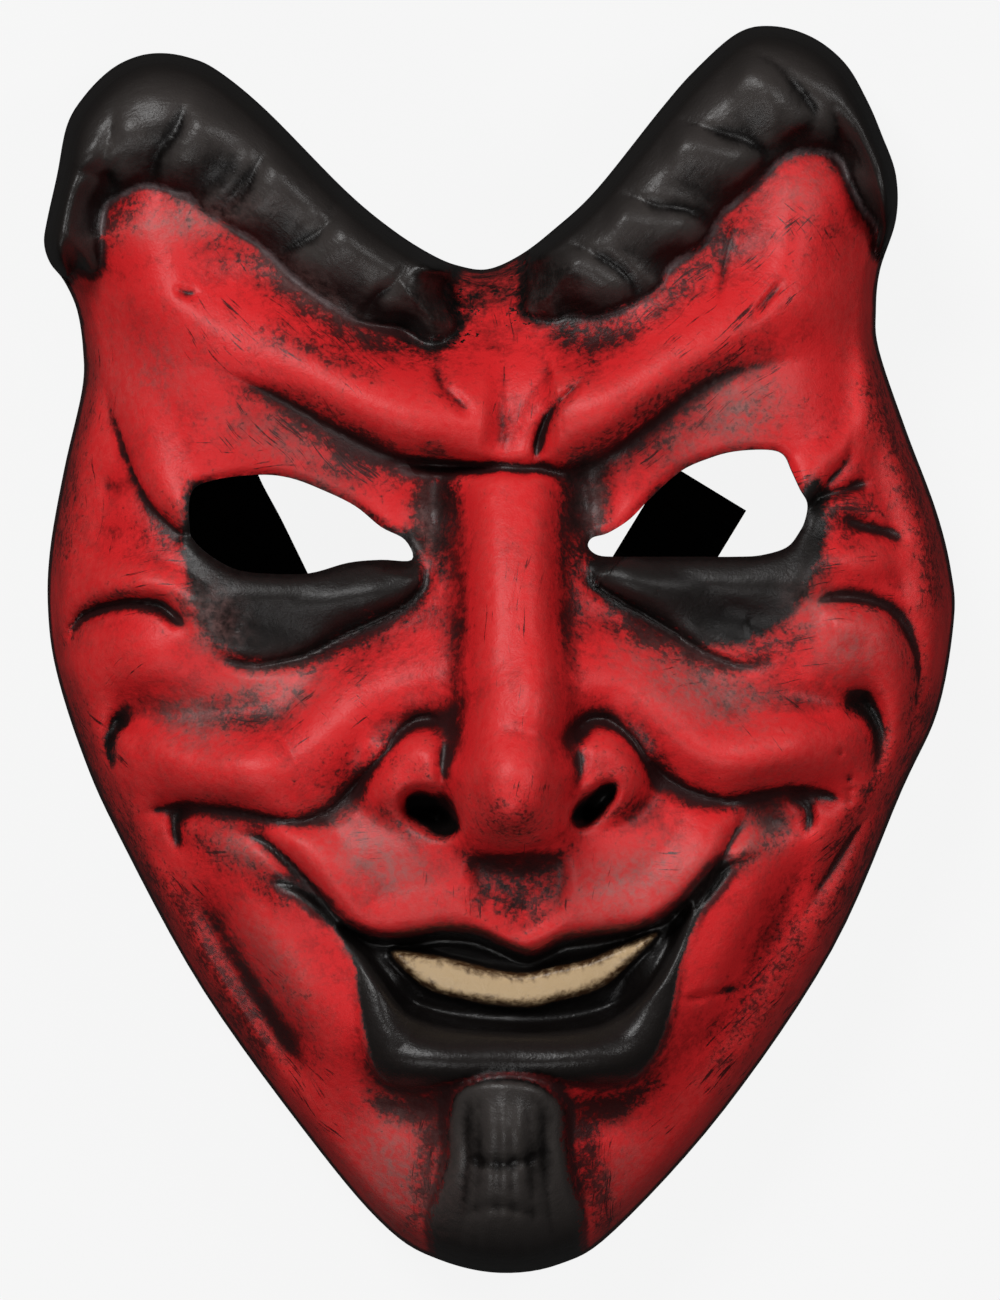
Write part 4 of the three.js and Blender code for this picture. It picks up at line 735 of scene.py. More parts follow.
# Thin dark antiquing mixed with painted shade: under the horns and brows, round the eyes and nose, along
# folds and down the sides.
WASH_AND_SHADE = (
    # Painted shadow under the nose tip.
    Mound((2, -35.6), (11, 4), 0.6),
    Mound((2, -32), (10, 5), 0.6),
    Mound((-18, -25), (8, 7), 0.36),
    Mound((22, -25), (7, 7), 0.4),
    Stroke(((-56, 64), (-44, 63), (-32, 58), (-20, 53)), (0.3, 0.6, 0.7, 0.5), 3),
    Stroke(((-81, 70), (-78, 84), (-68, 88), (-58, 83), (-46, 75), (-36, 67), (-26, 61), (-14, 57)),
        (0.7, 0.8, 0.3, 0.3, 0.4, 0.7, 0.8, 0.5), 4),
    Stroke(((-58, 52), (-44, 50), (-34, 45.6), (-24, 40), (-14, 36), (-6, 36)),
        (0.2, 0.6, 0.9, 1, 1, 0.8), (3, 4, 3, 2.6, 2.4, 2), (6, 8, 8, 7, 5, 3), fade=(0.1, 0.1)),
    Mound((-30, 37), (15, 6.6), 0.5, -24),
    Stroke(((-84, 66), (-85, 52), (-88, 30), (-90, 10)), 0.7, 5),
    Mound((-68, 25), (7, 6), 0.6),
    Stroke(((-62, 8), (-56, 1), (-44, -1), (-32, 2), (-22, 8), (-15, 16)), 0.75, 4, 3.4, fade=(0.1, 0.1)),
    Mound((-13.6, 30), (5, 9), 0.8),
    Mound((-11, 20), (3, 8), 0.3),
    Stroke(((-88, -4), (-85, 5), (-79, 10), (-71, 10), (-63, 3)), 0.6, 2.4),
    Stroke(((-89, -2), (-84, -22), (-73, -42), (-62, -62)), 0.8, 5),
    Mound((-50, -12.4), (10, 6), 0.5, 10),
    Mound((-34, -24), (7, 5), 0.5, 30),
    Mound((-28, -4), (7, 4), 0.4, 40),
    Stroke(((-70, -32), (-60, -31), (-48, -33.4), (-38, -33.6), (-30, -28), (-22, -18), (-14, -14)),
        0.75, 2.4),
    Stroke(((-68, -36), (-58, -40), (-48, -46), (-38, -53)), 0.65, 5, 3),
    Stroke(((-71, -38), (-61, -55), (-51, -73), (-42, -90)), (0.6, 0.8, 0.9, 0.6), 4.4),
    Stroke(((-46, -60), (-40, -74), (-34, -88)), 0.4, 5),
    Stroke(((-11, -38.6), (-4, -43), (3, -44), (10, -43), (15, -38)), 0.8, 2),
    Stroke(((-30, -89), (-18, -92), (-9, -92)), 0.85, 2.6),
    Stroke(((13, -91), (24, -91), (34, -84)), 0.85, 2.6),
    Stroke(((-12.6, -90), (-14.6, -104), (-18, -120)), 0.9, 3.4),
    Stroke(((16, -90), (19, -106), (22, -120)), (0.9, 0.9, 0.8), 3.6),
    Stroke(((6, 62), (14, 62), (24, 63), (33, 69), (42, 79), (52, 90)), (0.4, 0.7, 0.6, 0.5, 0.5, 0.5), 3),
    Stroke(((8, 35), (16, 37), (26, 43.6), (38, 52), (50, 60), (60, 64)),
        (0.8, 1, 0.8, 0.7, 0.5, 0.3), (2, 3.4, 4.2, 4.2, 4, 3), (2, 2.4, 3, 3.4, 3.4, 3), fade=(0.1, 0.2)),
    Mound((34, 43), (16, 5), 0.4, 32),
    Mound((50, 47), (9, 6), 0.5, 30),
    Mound((60, 48), (9, 8), 0.26),
    Mound((66, 84), (9, 6), 0.45, 30),
    Stroke(((76, 66), (75, 52), (80, 38), (86, 20), (87, 0)), 0.75, 4),
    Mound((68, 27), (9, 8), 0.8),
    Stroke(((62, 6), (70, 9.4), (78, 8), (82.4, 0), (83, -14), (78, -30)), 0.65, 2.6),
    Stroke(((88, 0), (83, -20), (73, -42), (60, -64)), 0.75, 4.4),
    Mound((44, -4), (12, 7), 0.24, -10),
    Stroke(((67, -10), (74, -12), (76, -20), (72, -32), (62, -46)), 0.75, 3),
    Stroke(((70, -38), (60, -55), (50, -73), (40, -90)), (0.5, 0.6, 0.7, 0.5), 5),
    Stroke(((42, -46), (50, -41), (60, -35)), 0.65, 3),
    Stroke(((23, -12), (29.6, -18), (33.4, -25), (40, -30), (50, -29.6), (58, -28), (70, -30)), 0.7, 2.2),
    Stroke(((13.4, 36), (13.4, 18), (14, 0), (17, -13)), (0.8, 0.45, 0.15, 0.15), 2.6, 4),
    Mound((17, 28), (5, 9), 0.8),
    Stroke(((19, 12), (26, 5), (34, 0), (46, -2), (58, 2), (66, 10)), 0.7, 3, 3.6),
    Stroke(((-24, -28), (-22, -34), (-14, -37), (-8, -38)), 0.6, 2),
    Stroke(((28, -28), (25, -32), (18, -35)), 0.6, 2),
    Mound((4, -49), (10, 8), 0.7),
    Stroke(((7.6, 41), (10.4, 48), (16, 55), (22, 60)), 0.6, 2.4),
    Mound((-11, 51), (3.4, 7), 0.35, 20),
)

# Black paint laid on softly: round the eyes, in the nostrils and below the nose, where it is partly painted
# shadow under the nose tip; with thin lines of painted shade along the creases and in the pits.
SOFT_BLACK_AND_SHADE = (
    Panel(((-62.4, 33), (-64.4, 22), (-62.6, 12), (-60, 4), (-54, -1), (-46, -3.2), (-38.6, -1.8),
        (-30.4, 2.6), (-24, 5.6), (-17.8, 9.2), (-14.8, 14.6), (-15.8, 24), (-20, 24), (-26, 22),
        (-34, 21), (-46, 20), (-53, 23), (-57, 27), (-57, 34)), 1.25, 7),
    Panel(((17.6, 21), (17, 15.4), (19.2, 11.2), (24.6, 8), (30.4, 4.8), (37, 1.4), (44.4, 0), (53, 2),
        (59.4, 7), (62.6, 12.6), (65.4, 20), (66.4, 31), (62.6, 35), (58, 30), (55, 24),
        (48, 23), (34, 23), (22, 23)), 1.25, 7),
    Panel(((-62, 33), (-48, 36), (-34, 32.6), (-22, 26), (-17, 20), (-24, 22), (-36, 31), (-48, 34.4),
        (-58, 32)), 0.6, 2.4),
    Panel(((17, 20), (24, 26), (31, 33), (41, 39), (50, 41), (50, 39), (40, 37), (30, 29), (22, 22)),
        0.5, 2.2),
    Mound((-61, 10), (6, 9), 0.7, 10),
    Mound((-50, -1), (8, 3.4), 0.6),
    Mound((64, 22), (5, 12), 0.72, -6),
    Mound((56, 5), (6, 4), 0.6, 30),
    Panel(((-9.6, 40), (-9.6, 20), (-13, 12), (-16.4, 18), (-15.4, 30), (-17, 40)), 0.62, 5),
    Panel(((13, 39), (12.6, 20), (16, 14), (19.6, 20), (20, 30), (22, 38)), 0.68, 5),
    # Below the nose: black paint and painted shadow under the nose tip.
    Panel(((-4.4, -41.8), (0, -42.6), (7, -42.6), (12, -41.8), (12.6, -47.4), (13.4, -50),
        (10.6, -53.2), (8, -55.6), (2.8, -56), (-2.2, -53.8), (-5.8, -50), (-5, -46.4)), 0.5, 4),
    Panel(((-18.6, -29.4), (-14.6, -29.0), (-11.2, -31.4), (-8, -35.4), (-9, -37), (-12.4, -37),
        (-16.4, -34.2), (-18.8, -31.2)), 1.2, 2.0),
    Panel(((14.2, -33.6), (17.4, -29.8), (20.8, -27.4), (23.2, -26.4), (23.2, -29), (20.8, -31.4),
        (17.6, -33.8)), 1.2, 1.8),
    Panel(((-16, 78), (-20, 60), (-12, 57), (-4, 66), (6, 66), (12, 62), (18, 64), (14, 78)), 0.75, 7),
    Panel(LIP_PLAN, 1.2, 2.4),
    # These thin strokes are painted shade along the creases, at the mouth corners and in the pits.
    Stroke(((17.2, 55.8), (14.2, 52.2), (11.2, 49.2), (9.2, 45.8), (7.4, 41)), 0.62, 0.9, fade=(0.1, 0.1)),
    Stroke(((-24, 40.2), (-17.4, 38.2), (-7.4, 37.2), (-2, 37.4), (4, 36.2), (14, 37)), 0.5, 0.9),
    Stroke(((-86.8, -2), (-85.6, 4.2), (-81, 9.4), (-76, 10.4), (-70, 9.6), (-65, 6), (-62.8, 4)),
        (0.4, 0.3, 0.4, 0.5, 0.6, 0.7, 0.7), 1.1, fade=(0.3, 0.05)),
    Stroke(((-75, -13), (-77.4, -16), (-78, -20), (-76.8, -25)), 1.0, (2, 2, 1.6, 0.9), fade=(0.05, 0.2)),
    Stroke(((-56, -36.8), (-51, -36.6), (-47, -38.4), (-43.6, -41.8), (-38, -47)), 0.7, 1.2,
        fade=(0.2, 0.0)),
    Stroke(((-44.6, -46.6), (-40, -48.6), (-34, -53)), 0.7, 1.1, fade=(0.2, 0.0)),
    Stroke(((-61.4, -31.4), (-63.8, -32.8), (-64.6, -35.4), (-63.4, -40.4)), 0.72, (1.5, 1.7, 1.3, 0.7)),
    Stroke(((58.4, -28.6), (61, -30.6), (61.8, -33.4), (60.8, -37.4)), 0.66, (1.2, 1.3, 1.1, 0.6)),
    Stroke(((54.2, -33), (56, -34), (54, -35)), 0.6, 1.6),
    Stroke(((42, -48), (47.2, -42.6), (51, -41)), 0.65, 1.3, fade=(0.0, 0.3)),
    Stroke(((68, -10.4), (72.4, -10.6), (74.8, -14), (75.8, -18.4), (75, -24), (72, -32)),
        (0.8, 1, 0.9, 0.6, 0.5, 0.4), (2.2, 2.4, 2, 1.4, 1.2, 1.2), fade=(0.05, 0.1)),
    Stroke(((15.6, -20), (15.8, -16), (20.4, -13.4), (24, -14.6)), 0.45, 1.0, fade=(0.1, 0.4)),
    Stroke(((66, 26.6), (74, 24.4), (78.2, 23.2), (82, 20.8)), 0.5, 0.9),
    Stroke(((36.4, -70), (42, -69), (48, -67)), 0.4, 0.7),
    Stroke(((47, 86.4), (45, 78), (43.8, 68.6)), 0.35, 0.6),
)
BLACK_PLANS = (LEFT_HORN_PLAN, RIGHT_HORN_PLAN, LIP_PLAN, BEARD_PLAN)

# Where the paint wears to a pinkish grey, and pinkish-grey painted sheen where the swellings and the ends of
# the eye bags catch the light.
VEIL_AND_SHEEN = (
    Mound((48, 48), (9, 6), 1.0, 30),
    Mound((38, 42), (8, 4), 0.5, 30),
    Mound((40, -8), (13, 6), 0.8, -20),
    Mound((30, -2), (8, 5), 0.4),
    Mound((70, 1), (6.4, 6), 0.6),
    Mound((-24, -42), (12, 6), 0.9, -30),
    Mound((26, -46), (12, 6), 0.9, 20),
    Mound((-20, -104), (8, 12), 0.9, 20),
    Mound((-57.4, 6), (4.6, 6.4), 1.1, 20),
    Mound((-47, -8), (10, 5), 0.7, 10),
    Mound((-60, -14), (7, 6), 0.6),
    Mound((62, 8), (5, 5), 0.7, -30),
    Mound((-44, 42), (12, 5), 0.5, -20),
    Mound((-36, 33), (8, 4), 0.4, -20),
    Mound((-68, 56), (10, 8), 0.3),
    Mound((-62, 86), (12, 3.4), 0.8, 10),
    Mound((-38, 72), (12, 3), 0.6, -36),
    Mound((60, 92), (8, 4), 0.4, 40),
    Mound((-15, 26), (2.4, 7), 0.7),
    Mound((19, 30), (2.4, 6), 0.6),
    Mound((-45, -62), (5, 12), 0.4, 30),
    Mound((24, -104), (5, 10), 0.3, -20),
    Mound((-52, -40), (6, 3), 0.8, -30),
    Mound((52, -38), (6, 4), 0.7, 40),
)
# Where a light line shows along the edge of the black paint, partly wear and partly a painted highlight on
# the paint's raised edge, and where that edge is ragged.
WORN_AND_LIT_EDGES = (
    Stroke(((-81, 76), (-79.8, 84), (-75, 92), (-62, 91), (-54, 85), (-44, 78), (-34, 69), (-22, 65)), 1, 3),
    Stroke(((18, 66), (30, 71), (36, 78), (46, 90), (58, 99), (68, 98), (73, 87), (76, 78)), 0.8, 3),
    Stroke(((-36, -51), (-30, -60), (-28, -72), (-25, -84)), 0.3, 3),
    Stroke(((40, -50), (36, -62), (33, -76)), 0.3, 3),
)
RAGGED_EDGES = (
    Mound((-4, 70), (13, 10), 8.0, 0, 3),
    Mound((14, 67), (10, 5), 2.0),
    Stroke(((-10, -90), (-12, -104), (-14, -120)), 1.0, 4),
    Stroke(((13, -90), (15, -104), (16, -120)), 1.4, 4),
)

# The moulding's slots, in the order of its materials.
PAINTED_SLOT = 0
BARE_SLOT = 1
CUT_SLOT = 2

# How far the layers and the horns' lines are measured. Each sunk layer has the radius over which the
# face is evened out, and the depth below the even face that counts as one.
LAYER_REACH = 15.0
INWARD_REACH = 30.0
FAR_OUTSIDE = -60.0
MOST_SUNK = 1.5
SUNK_LAYERS = (("hollow", 1.6, 0.5), ("valley", 5.0, 2.4))
HORN_REACH = 26.0
HORN_STATIONS = 120

# How often the search for the inner rim halves its range.
HALVINGS = 20

Heights = Callable[[Array], Array]


class Outline:
    """A closed outline read by the share of the way round it, from where it runs along +X."""

    def __init__(self, corners: Array, centre: Array) -> None:
        """Start the outline at its crossing to the right of the centre.

        Args:
            corners: The outline's corners, anticlockwise.
            centre: The place that it is read round.
        """
        beyond = np.roll(corners, -1, axis=0)
        crosses = (corners[:, 1] - centre[1]) * (beyond[:, 1] - centre[1]) <= 0
        start = int(np.argmax((corners[:, 0] > 0) & crosses))
        turned = np.roll(corners, -start, axis=0)
        self.turned = np.vstack([turned, turned[:1]])
        self.reach = distances_along(self.turned)

    def at(self, share: Array) -> Array:
        """Give the points at shares of the way round."""
        wanted = share * self.reach[-1]
        return np.stack([np.interp(wanted, self.reach, self.turned[:, k]) for k in (0, 1)], axis=1)


@dataclass
class HeightField:
    """Heights on a square field over the mask, read back between its points."""

    low: Array
    cell: float
    values: Array

    @classmethod
    def over(cls, outline: Array, cell: float, height: Heights) -> HeightField:
        """Fill a field that covers an outline.

        Args:
            outline: The outline's corners.
            cell: The distance between the field's points.
            height: Gives the heights over points of the plan.

        Returns:
            The field.
        """
        margin = 3 * cell
        low = outline.min(axis=0) - margin
        counts = np.ceil((outline.max(axis=0) + margin - low) / cell).astype(int) + 1
        columns, rows = np.meshgrid(np.arange(counts[0]), np.arange(counts[1]))
        points = low + cell * np.stack([columns.ravel(), rows.ravel()], axis=1)
        return cls(low, cell, height(points).reshape(counts[1], counts[0]))

    def with_values(self, values: Array) -> HeightField:
        """Give a field of the same size with other values."""
        return HeightField(self.low, self.cell, values)

    def at(self, points: Array) -> Array:
        """Read the field at points.

        Args:
            points: Places in the plan.

        Returns:
            One value for each place.
        """
        tall, wide = self.values.shape
        u = np.clip((points[:, 0] - self.low[0]) / self.cell, 0, wide - 1.001)
        v = np.clip((points[:, 1] - self.low[1]) / self.cell, 0, tall - 1.001)
        i, j = u.astype(int), v.astype(int)
        s, t = u - i, v - j
        below = self.values[j, i] * (1 - s) + self.values[j, i + 1] * s
        above = self.values[j + 1, i] * (1 - s) + self.values[j + 1, i + 1] * s
        return below * (1 - t) + above * t

    def shifted(self, columns: int, rows: int) -> Array:
        """Give the values moved by whole cells, the border carried on outward.

        Args:
            columns: How far to the left.
            rows: How far down.

        Returns:
            The values.
        """
        pad = max(abs(columns), abs(rows))
        padded = np.pad(self.values, pad, mode="edge")
        tall, wide = self.values.shape
        return padded[pad + rows:pad + rows + tall, pad + columns:pad + columns + wide]

    def rolled_under(self, ball: float) -> HeightField:
        """Give the face that a ball leaves when it is rolled under the field.

        Args:
            ball: The ball's radius.

        Returns:
            The face's heights.
        """
        reach = int(ball / self.cell)
        lowest = self.values - ball
        for rows in range(-reach, reach + 1):
            for columns in range(-reach, reach + 1):
                away = (columns * columns + rows * rows) * self.cell**2
                if away <= ball * ball:
                    lowest = np.minimum(lowest, self.shifted(columns, rows) - math.sqrt(ball * ball - away))
        return self.with_values(lowest)

    def blurred(self, radius: float) -> HeightField:
        """Give the field evened out.

        Args:
            radius: The spread of the evening.

        Returns:
            The even field.
        """
        reach = math.ceil(3 * radius / self.cell)
        offsets = np.arange(-reach, reach + 1) * self.cell
        weights = np.exp(-0.5 * (offsets / radius) ** 2)
        weights /= weights.sum()
        values = np.pad(self.values, reach, mode="edge")
        tall, wide = self.values.shape
        rows = sum(w * values[k:k + tall, :] for k, w in enumerate(weights))
        return self.with_values(sum(w * rows[:, k:k + wide] for k, w in enumerate(weights)))


@dataclass
class Skin:
    """One dome of the moulding: its corners, its triangles and the corners on its edge."""

    corners: Array
    faces: Array
    edge: Array


@dataclass
class MaskShell:
    """The hollow moulding of face, horns, teeth and beard, with its two eye openings. Millimetres.

    The horn foot holds its place, its bow and its width, and a start a place and a width. The end
    drop holds its start, reach, depth and power. The side drop is given for cheek and jaw, the side
    slope for cheek, jaw, chin and horns, and the shoulder for face and horns, with its roundness.
    """

    wall: float = 3.0
    face_height: float = 53.0
    horn_foot: Triple = (60.0, 0.06, 16.0)
    jaw_start: Pair = (-20.0, 40.0)
    chin_start: Pair = (-96.0, 24.0)
    horn_rise: float = 0.34
    horn_round: float = 1.25
    horn_step: float = 0.8
    horn_lean: float = 0.7
    horn_edge: float = 1.4
    horn_seat: float = 0.4
    crease_least: float = 0.2
    eye_height: float = 45.0
    lid_round: Pair = (1.6, 2.4)
    view_distance: float = 1800.0
    plan_centre: Pair = (0.0, -10.0)
    end_drop: tuple[float, ...] = (-5.0, 115.0, 7.0, 2.4)
    side_drop: Pair = (24.0, 22.0)
    side_slope: tuple[float, ...] = (34.0, 34.0, 24.0, 22.0)
    shoulder: Triple = (4.5, 3.4, 2.2)
    outer_rings: int = 142
    inner_rings: int = 50
    field_cell: float = 0.8
    steep_rings: tuple[float, ...] = (0.975, 0.985, 0.9915, 0.9958, 0.9983, 0.9995, 1.0)
    inner_steep_rings: tuple[float, ...] = (0.957, 0.981, 0.994, 0.9986, 1.0)
    quick_rings: int = 110
    rim: Array = field(init=False)
    eyes: list[Array] = field(init=False)
    shift: Array = field(init=False)
    surface: HeightField = field(init=False)

    def __post_init__(self) -> None:
        """Work out the smooth outlines."""
        self.rim = smooth_curve(RIM_PLAN, EDGE_STEPS, closed=True)
        self.eyes = [smooth_curve(plan, PLAN_STEPS, closed=True) for plan in (LEFT_EYE_PLAN, RIGHT_EYE_PLAN)]
        self.shift = np.zeros(2)

    def height(self, points: Array) -> Array:
        """Give the height of the outer face over points of the plan.

        Args:
            points: Places in the plan.

        Returns:
            One height above the rim for each place.
        """
        x, y = points[:, 0], points[:, 1]
        inward = np.maximum(signed_distance(self.rim, points), 0.0)
        foot, bow, over_foot = self.horn_foot
        horn_share = ease((y - foot + bow * np.abs(x)) / over_foot)
        jaw_share = ease((self.jaw_start[0] - y) / self.jaw_start[1])
        chin_share = ease((self.chin_start[0] - y) / self.chin_start[1])
        cheek, jaw, chin, horn_slope = self.side_slope
        slope = cheek + (jaw - cheek) * jaw_share + (chin - jaw) * chin_share
        slope += (horn_slope - slope) * horn_share
        drop = self.side_drop[0] + (self.side_drop[1] - self.side_drop[0]) * jaw_share
        start, over, most, power = self.end_drop
        plain = self.face_height - most * (np.abs(y - start) / over) ** power
        face = plain - drop * (1 - clamp01(inward / slope)) ** 2
        for form in FACE_RELIEF:
            face += form.lift(points)
        top = face + self.horn(points, inward, plain - face)
        for eye in self.eyes:
            away = np.maximum(-signed_distance(eye, points), 0.0)
            top -= self.lid_round[0] * (1 - clamp01(away / self.lid_round[1])) ** 2
        face_shoulder, horn_shoulder, roundness = self.shoulder
        turn = clamp01(inward / (face_shoulder + (horn_shoulder - face_shoulder) * horn_share))
        return top * np.sqrt(np.maximum(1 - (1 - turn) ** roundness, 0.0))

    def horn(self, points: Array, inward: Array, sag: Array) -> Array:
        """Roll the horns: round over their whole width, from the rim to where they meet the face.

        Args:
            points: Places in the plan.
            inward: How far each place lies inside the rim.
            sag: How far the face lies below its plain form at each place.

        Returns:
            How far the horns rise over the face at each place.
        """
        inside = inside_plans((LEFT_HORN_PLAN, RIGHT_HORN_PLAN), points, FAR_OUTSIDE)
        width = np.maximum(inside, 0.0) + inward
        share = clamp01(inside / np.maximum(width, 0.1))
        middle = 4 * share * (1 - share)
        roll = self.horn_step + self.horn_rise * width * middle**self.horn_round
        for crease in HORN_CREASES:
            roll += crease.lift(points) * np.minimum(1.0, middle + self.crease_least)
        return (roll + sag * ease(share / self.horn_lean)) * ease(inside / self.horn_edge + self.horn_seat)

    def raised(self, points: Array, height: Array) -> Array:
        """Set points of the plan at heights: what stands nearer to the eye is smaller than it looks."""
        share = (1 - height / self.view_distance)[:, None]
        return np.column_stack([points * share, height])

    def plan_of(self, corners: Array) -> Array:
        """Give the places of the plan that corners stand over."""
        return (corners[:, :2] + self.shift) / (1 - corners[:, 2:3] / self.view_distance)

    def inset_rim(self, shares: Array, outline: Outline) -> Array:
        """Find the points one wall inside the rim, on the ways from the plan's middle.

        Args:
            shares: The shares of the way round.
            outline: The rim's outline.

        Returns:
            One point for each share.
        """
        centre = np.array(self.plan_centre)
        away = outline.at(shares) - centre
        low, high = np.full(len(shares), 0.5), np.ones(len(shares))
        for _ in range(HALVINGS):
            middle = (low + high) / 2
            deep = signed_distance(self.rim, centre + away * middle[:, None]) > self.wall
            low, high = np.where(deep, middle, low), np.where(deep, high, middle)
        return centre + away * low[:, None]

    def skin(self, rings: int, edge_at: Heights, height_at: Heights, steep: Sequence[float]) -> Skin:
        """Build a dome from square rings that turn into the outline as they go outward.

        Args:
            rings: How many rings there are from the middle to the edge.
            edge_at: Gives the edge's points at shares of the way round.
            height_at: Gives the heights over points of the plan.
            steep: How far out the last rings lie, where the side is steep.

        Returns:
            The dome.
        """
        side = 2 * rings + 1
        counted = np.arange(side) - rings
        column, row = (grid.ravel() for grid in np.meshgrid(counted, counted))
        ring = np.maximum(np.abs(row), np.abs(column))
        around = np.select(
            [column == ring, row == ring, column == -ring], [row, 2 * ring - column, 4 * ring - row],
            6 * ring + column,
        )
        shares = np.where(ring > 0, (around / (8 * np.maximum(ring, 1)) + 1) % 1, 0.0)
        even = np.linspace(0, steep[0], rings - len(steep) + 2)
        fractions = np.concatenate([even, steep[1:]])
        centre = np.array(self.plan_centre)
        points = centre + (edge_at(shares) - centre) * fractions[ring][:, None]
        height = np.where(ring == rings, 0.0, height_at(points))
        corners = self.raised(points, height)
        a = (np.arange(side - 1)[:, None] * side + np.arange(side - 1)[None, :]).ravel()
        b, c, d = a + 1, a + side + 1, a + side
        rising = np.linalg.norm(corners[a] - corners[c], axis=1)
        falling = np.linalg.norm(corners[b] - corners[d], axis=1)
        middles = counted[:-1] + 0.5
        right, up = (grid.ravel() for grid in np.meshgrid(middles, middles))
        slant = np.where(np.abs(right) == np.abs(up), right == up, rising <= falling)
        first = np.where(slant[:, None], np.stack([a, b, c], 1), np.stack([a, b, d], 1))
        second = np.where(slant[:, None], np.stack([a, c, d], 1), np.stack([b, c, d], 1))
        edge = np.flatnonzero(ring == rings)
        return Skin(corners, np.vstack([first, second]), edge[np.argsort(shares[edge])])

    def rim_faces(self, outer: Skin, inner: Skin, offset: int) -> list[tuple[int, int, int]]:
        """Close the rim between the two domes.

        Args:
            outer: The outer dome.
            inner: The inner dome.
            offset: The number of the inner dome's first corner.

        Returns:
            The rim's triangles.
        """
        faces = []
        i = j = 0
        outer_count, inner_count = len(outer.edge), len(inner.edge)
        while i < outer_count or j < inner_count:
            start = int(outer.edge[i % outer_count])
            across = int(inner.edge[j % inner_count]) + offset
            if j >= inner_count or (i < outer_count and (i + 1) / outer_count <= (j + 1) / inner_count):
                i += 1
                faces.append((int(outer.edge[i % outer_count]), start, across))
            else:
                j += 1
                faces.append((start, across, int(inner.edge[j % inner_count]) + offset))
        return faces

    def build_blank(self, slots: Sequence[Material]) -> Piece:
        """Build the moulding before its eyes are cut.

        Args:
            slots: The materials of the painted face, the bare inside and the cut edge.

        Returns:
            The closed, hollow blank.
        """
        centre = np.array(self.plan_centre)
        outline = Outline(self.rim, centre)
        self.surface = HeightField.over(self.rim, self.field_cell, self.height)
        under = self.surface.rolled_under(self.wall)
        outer = self.skin(self.outer_rings, outline.at, self.height, self.steep_rings)
        inner = self.skin(
            self.inner_rings, lambda shares: self.inset_rim(shares, outline),
            lambda points: np.maximum(under.at(points), 0.0), self.inner_steep_rings,
        )
        corners = np.vstack([outer.corners, inner.corners])
        self.shift = (corners[:, :2].min(axis=0) + corners[:, :2].max(axis=0)) / 2
        corners[:, :2] -= self.shift
        offset = len(outer.corners)
        rim = np.array(self.rim_faces(outer, inner, offset))
        faces = np.vstack([outer.faces, inner.faces[:, ::-1] + offset, rim])
        blank = new_piece("mask_shell_moulding", corners, faces, slots)
        numbers = np.full(len(faces), BARE_SLOT, np.int32)
        numbers[:len(outer.faces)] = PAINTED_SLOT
        blank.data.polygons.foreach_set("material_index", numbers)
        return blank

    def eye_cutter(self, eye: Array, slots: Sequence[Material]) -> Piece:
        """Make an upright block over an eye's outline.

        Args:
            eye: The eye's outline.
            slots: The materials, of which the block takes the last.

        Returns:
            The block.
        """
        outline = eye * (1 - self.eye_height / self.view_distance) - self.shift
        count = len(outline)
        corners = np.vstack([
            np.column_stack([outline, np.full(count, -1.0)]),
            np.column_stack([outline, np.full(count, 2 * self.face_height)]),
        ])
        clockwise = signed_area(outline) < 0
        ring = list(range(count)) if clockwise else list(range(count))[::-1]
        walls = [(b, a, a + count, b + count) for a, b in zip(ring, ring[1:] + ring[:1])]
        block = new_piece("eye_cutter", corners, [ring, [k + count for k in ring[::-1]], *walls], slots)
        block.data.polygons.foreach_set("material_index", np.full(len(walls) + 2, CUT_SLOT, np.int32))
        return block

    def build(self, slots: Sequence[Material]) -> Piece:
        """Build the moulding with its eye openings, ready to be painted.

        Args:
            slots: The materials of the painted face, the bare inside and the cut edge.

        Returns:
            The moulding.
        """
        piece = self.build_blank(slots)
        for eye in self.eyes:
            cutter = self.eye_cutter(eye, slots)
            cut = piece.modifiers.new("eye opening", "BOOLEAN")
            cut.operation = "DIFFERENCE"
            cut.solver = "MANIFOLD"
            cut.object = cutter
            bpy.context.view_layer.update()
            pierced = piece.evaluated_get(bpy.context.evaluated_depsgraph_get())
            whole = bpy.data.meshes.new_from_object(pierced)
            piece.modifiers.clear()
            piece.data = whole
            bpy.data.objects.remove(cutter)
        whole.name = piece.name
        self.soften(whole)
        self.paint(whole)
        return piece

    def soften(self, mesh: Mesh) -> None:
        """Shade the skin smoothly, with sharp edges where the cut meets the rest.

        Args:
            mesh: The moulding's mesh.
        """
        mesh.polygons.foreach_set("use_smooth", np.ones(len(mesh.polygons), bool))
        numbers = read(mesh.polygons, "material_index", np.int32)
        sizes = read(mesh.polygons, "loop_total", np.int32)
        edges = read(mesh.loops, "edge_index", np.int32)
        kinds = np.repeat(numbers, sizes)
        least = np.full(len(mesh.edges), CUT_SLOT)
        most = np.full(len(mesh.edges), PAINTED_SLOT)
        np.minimum.at(least, edges, kinds)
        np.maximum.at(most, edges, kinds)
        sharp = mesh.attributes.get("sharp_edge") or mesh.attributes.new("sharp_edge", "BOOLEAN", "EDGE")
        sharp.data.foreach_set("value", (most == CUT_SLOT) & (least != CUT_SLOT))

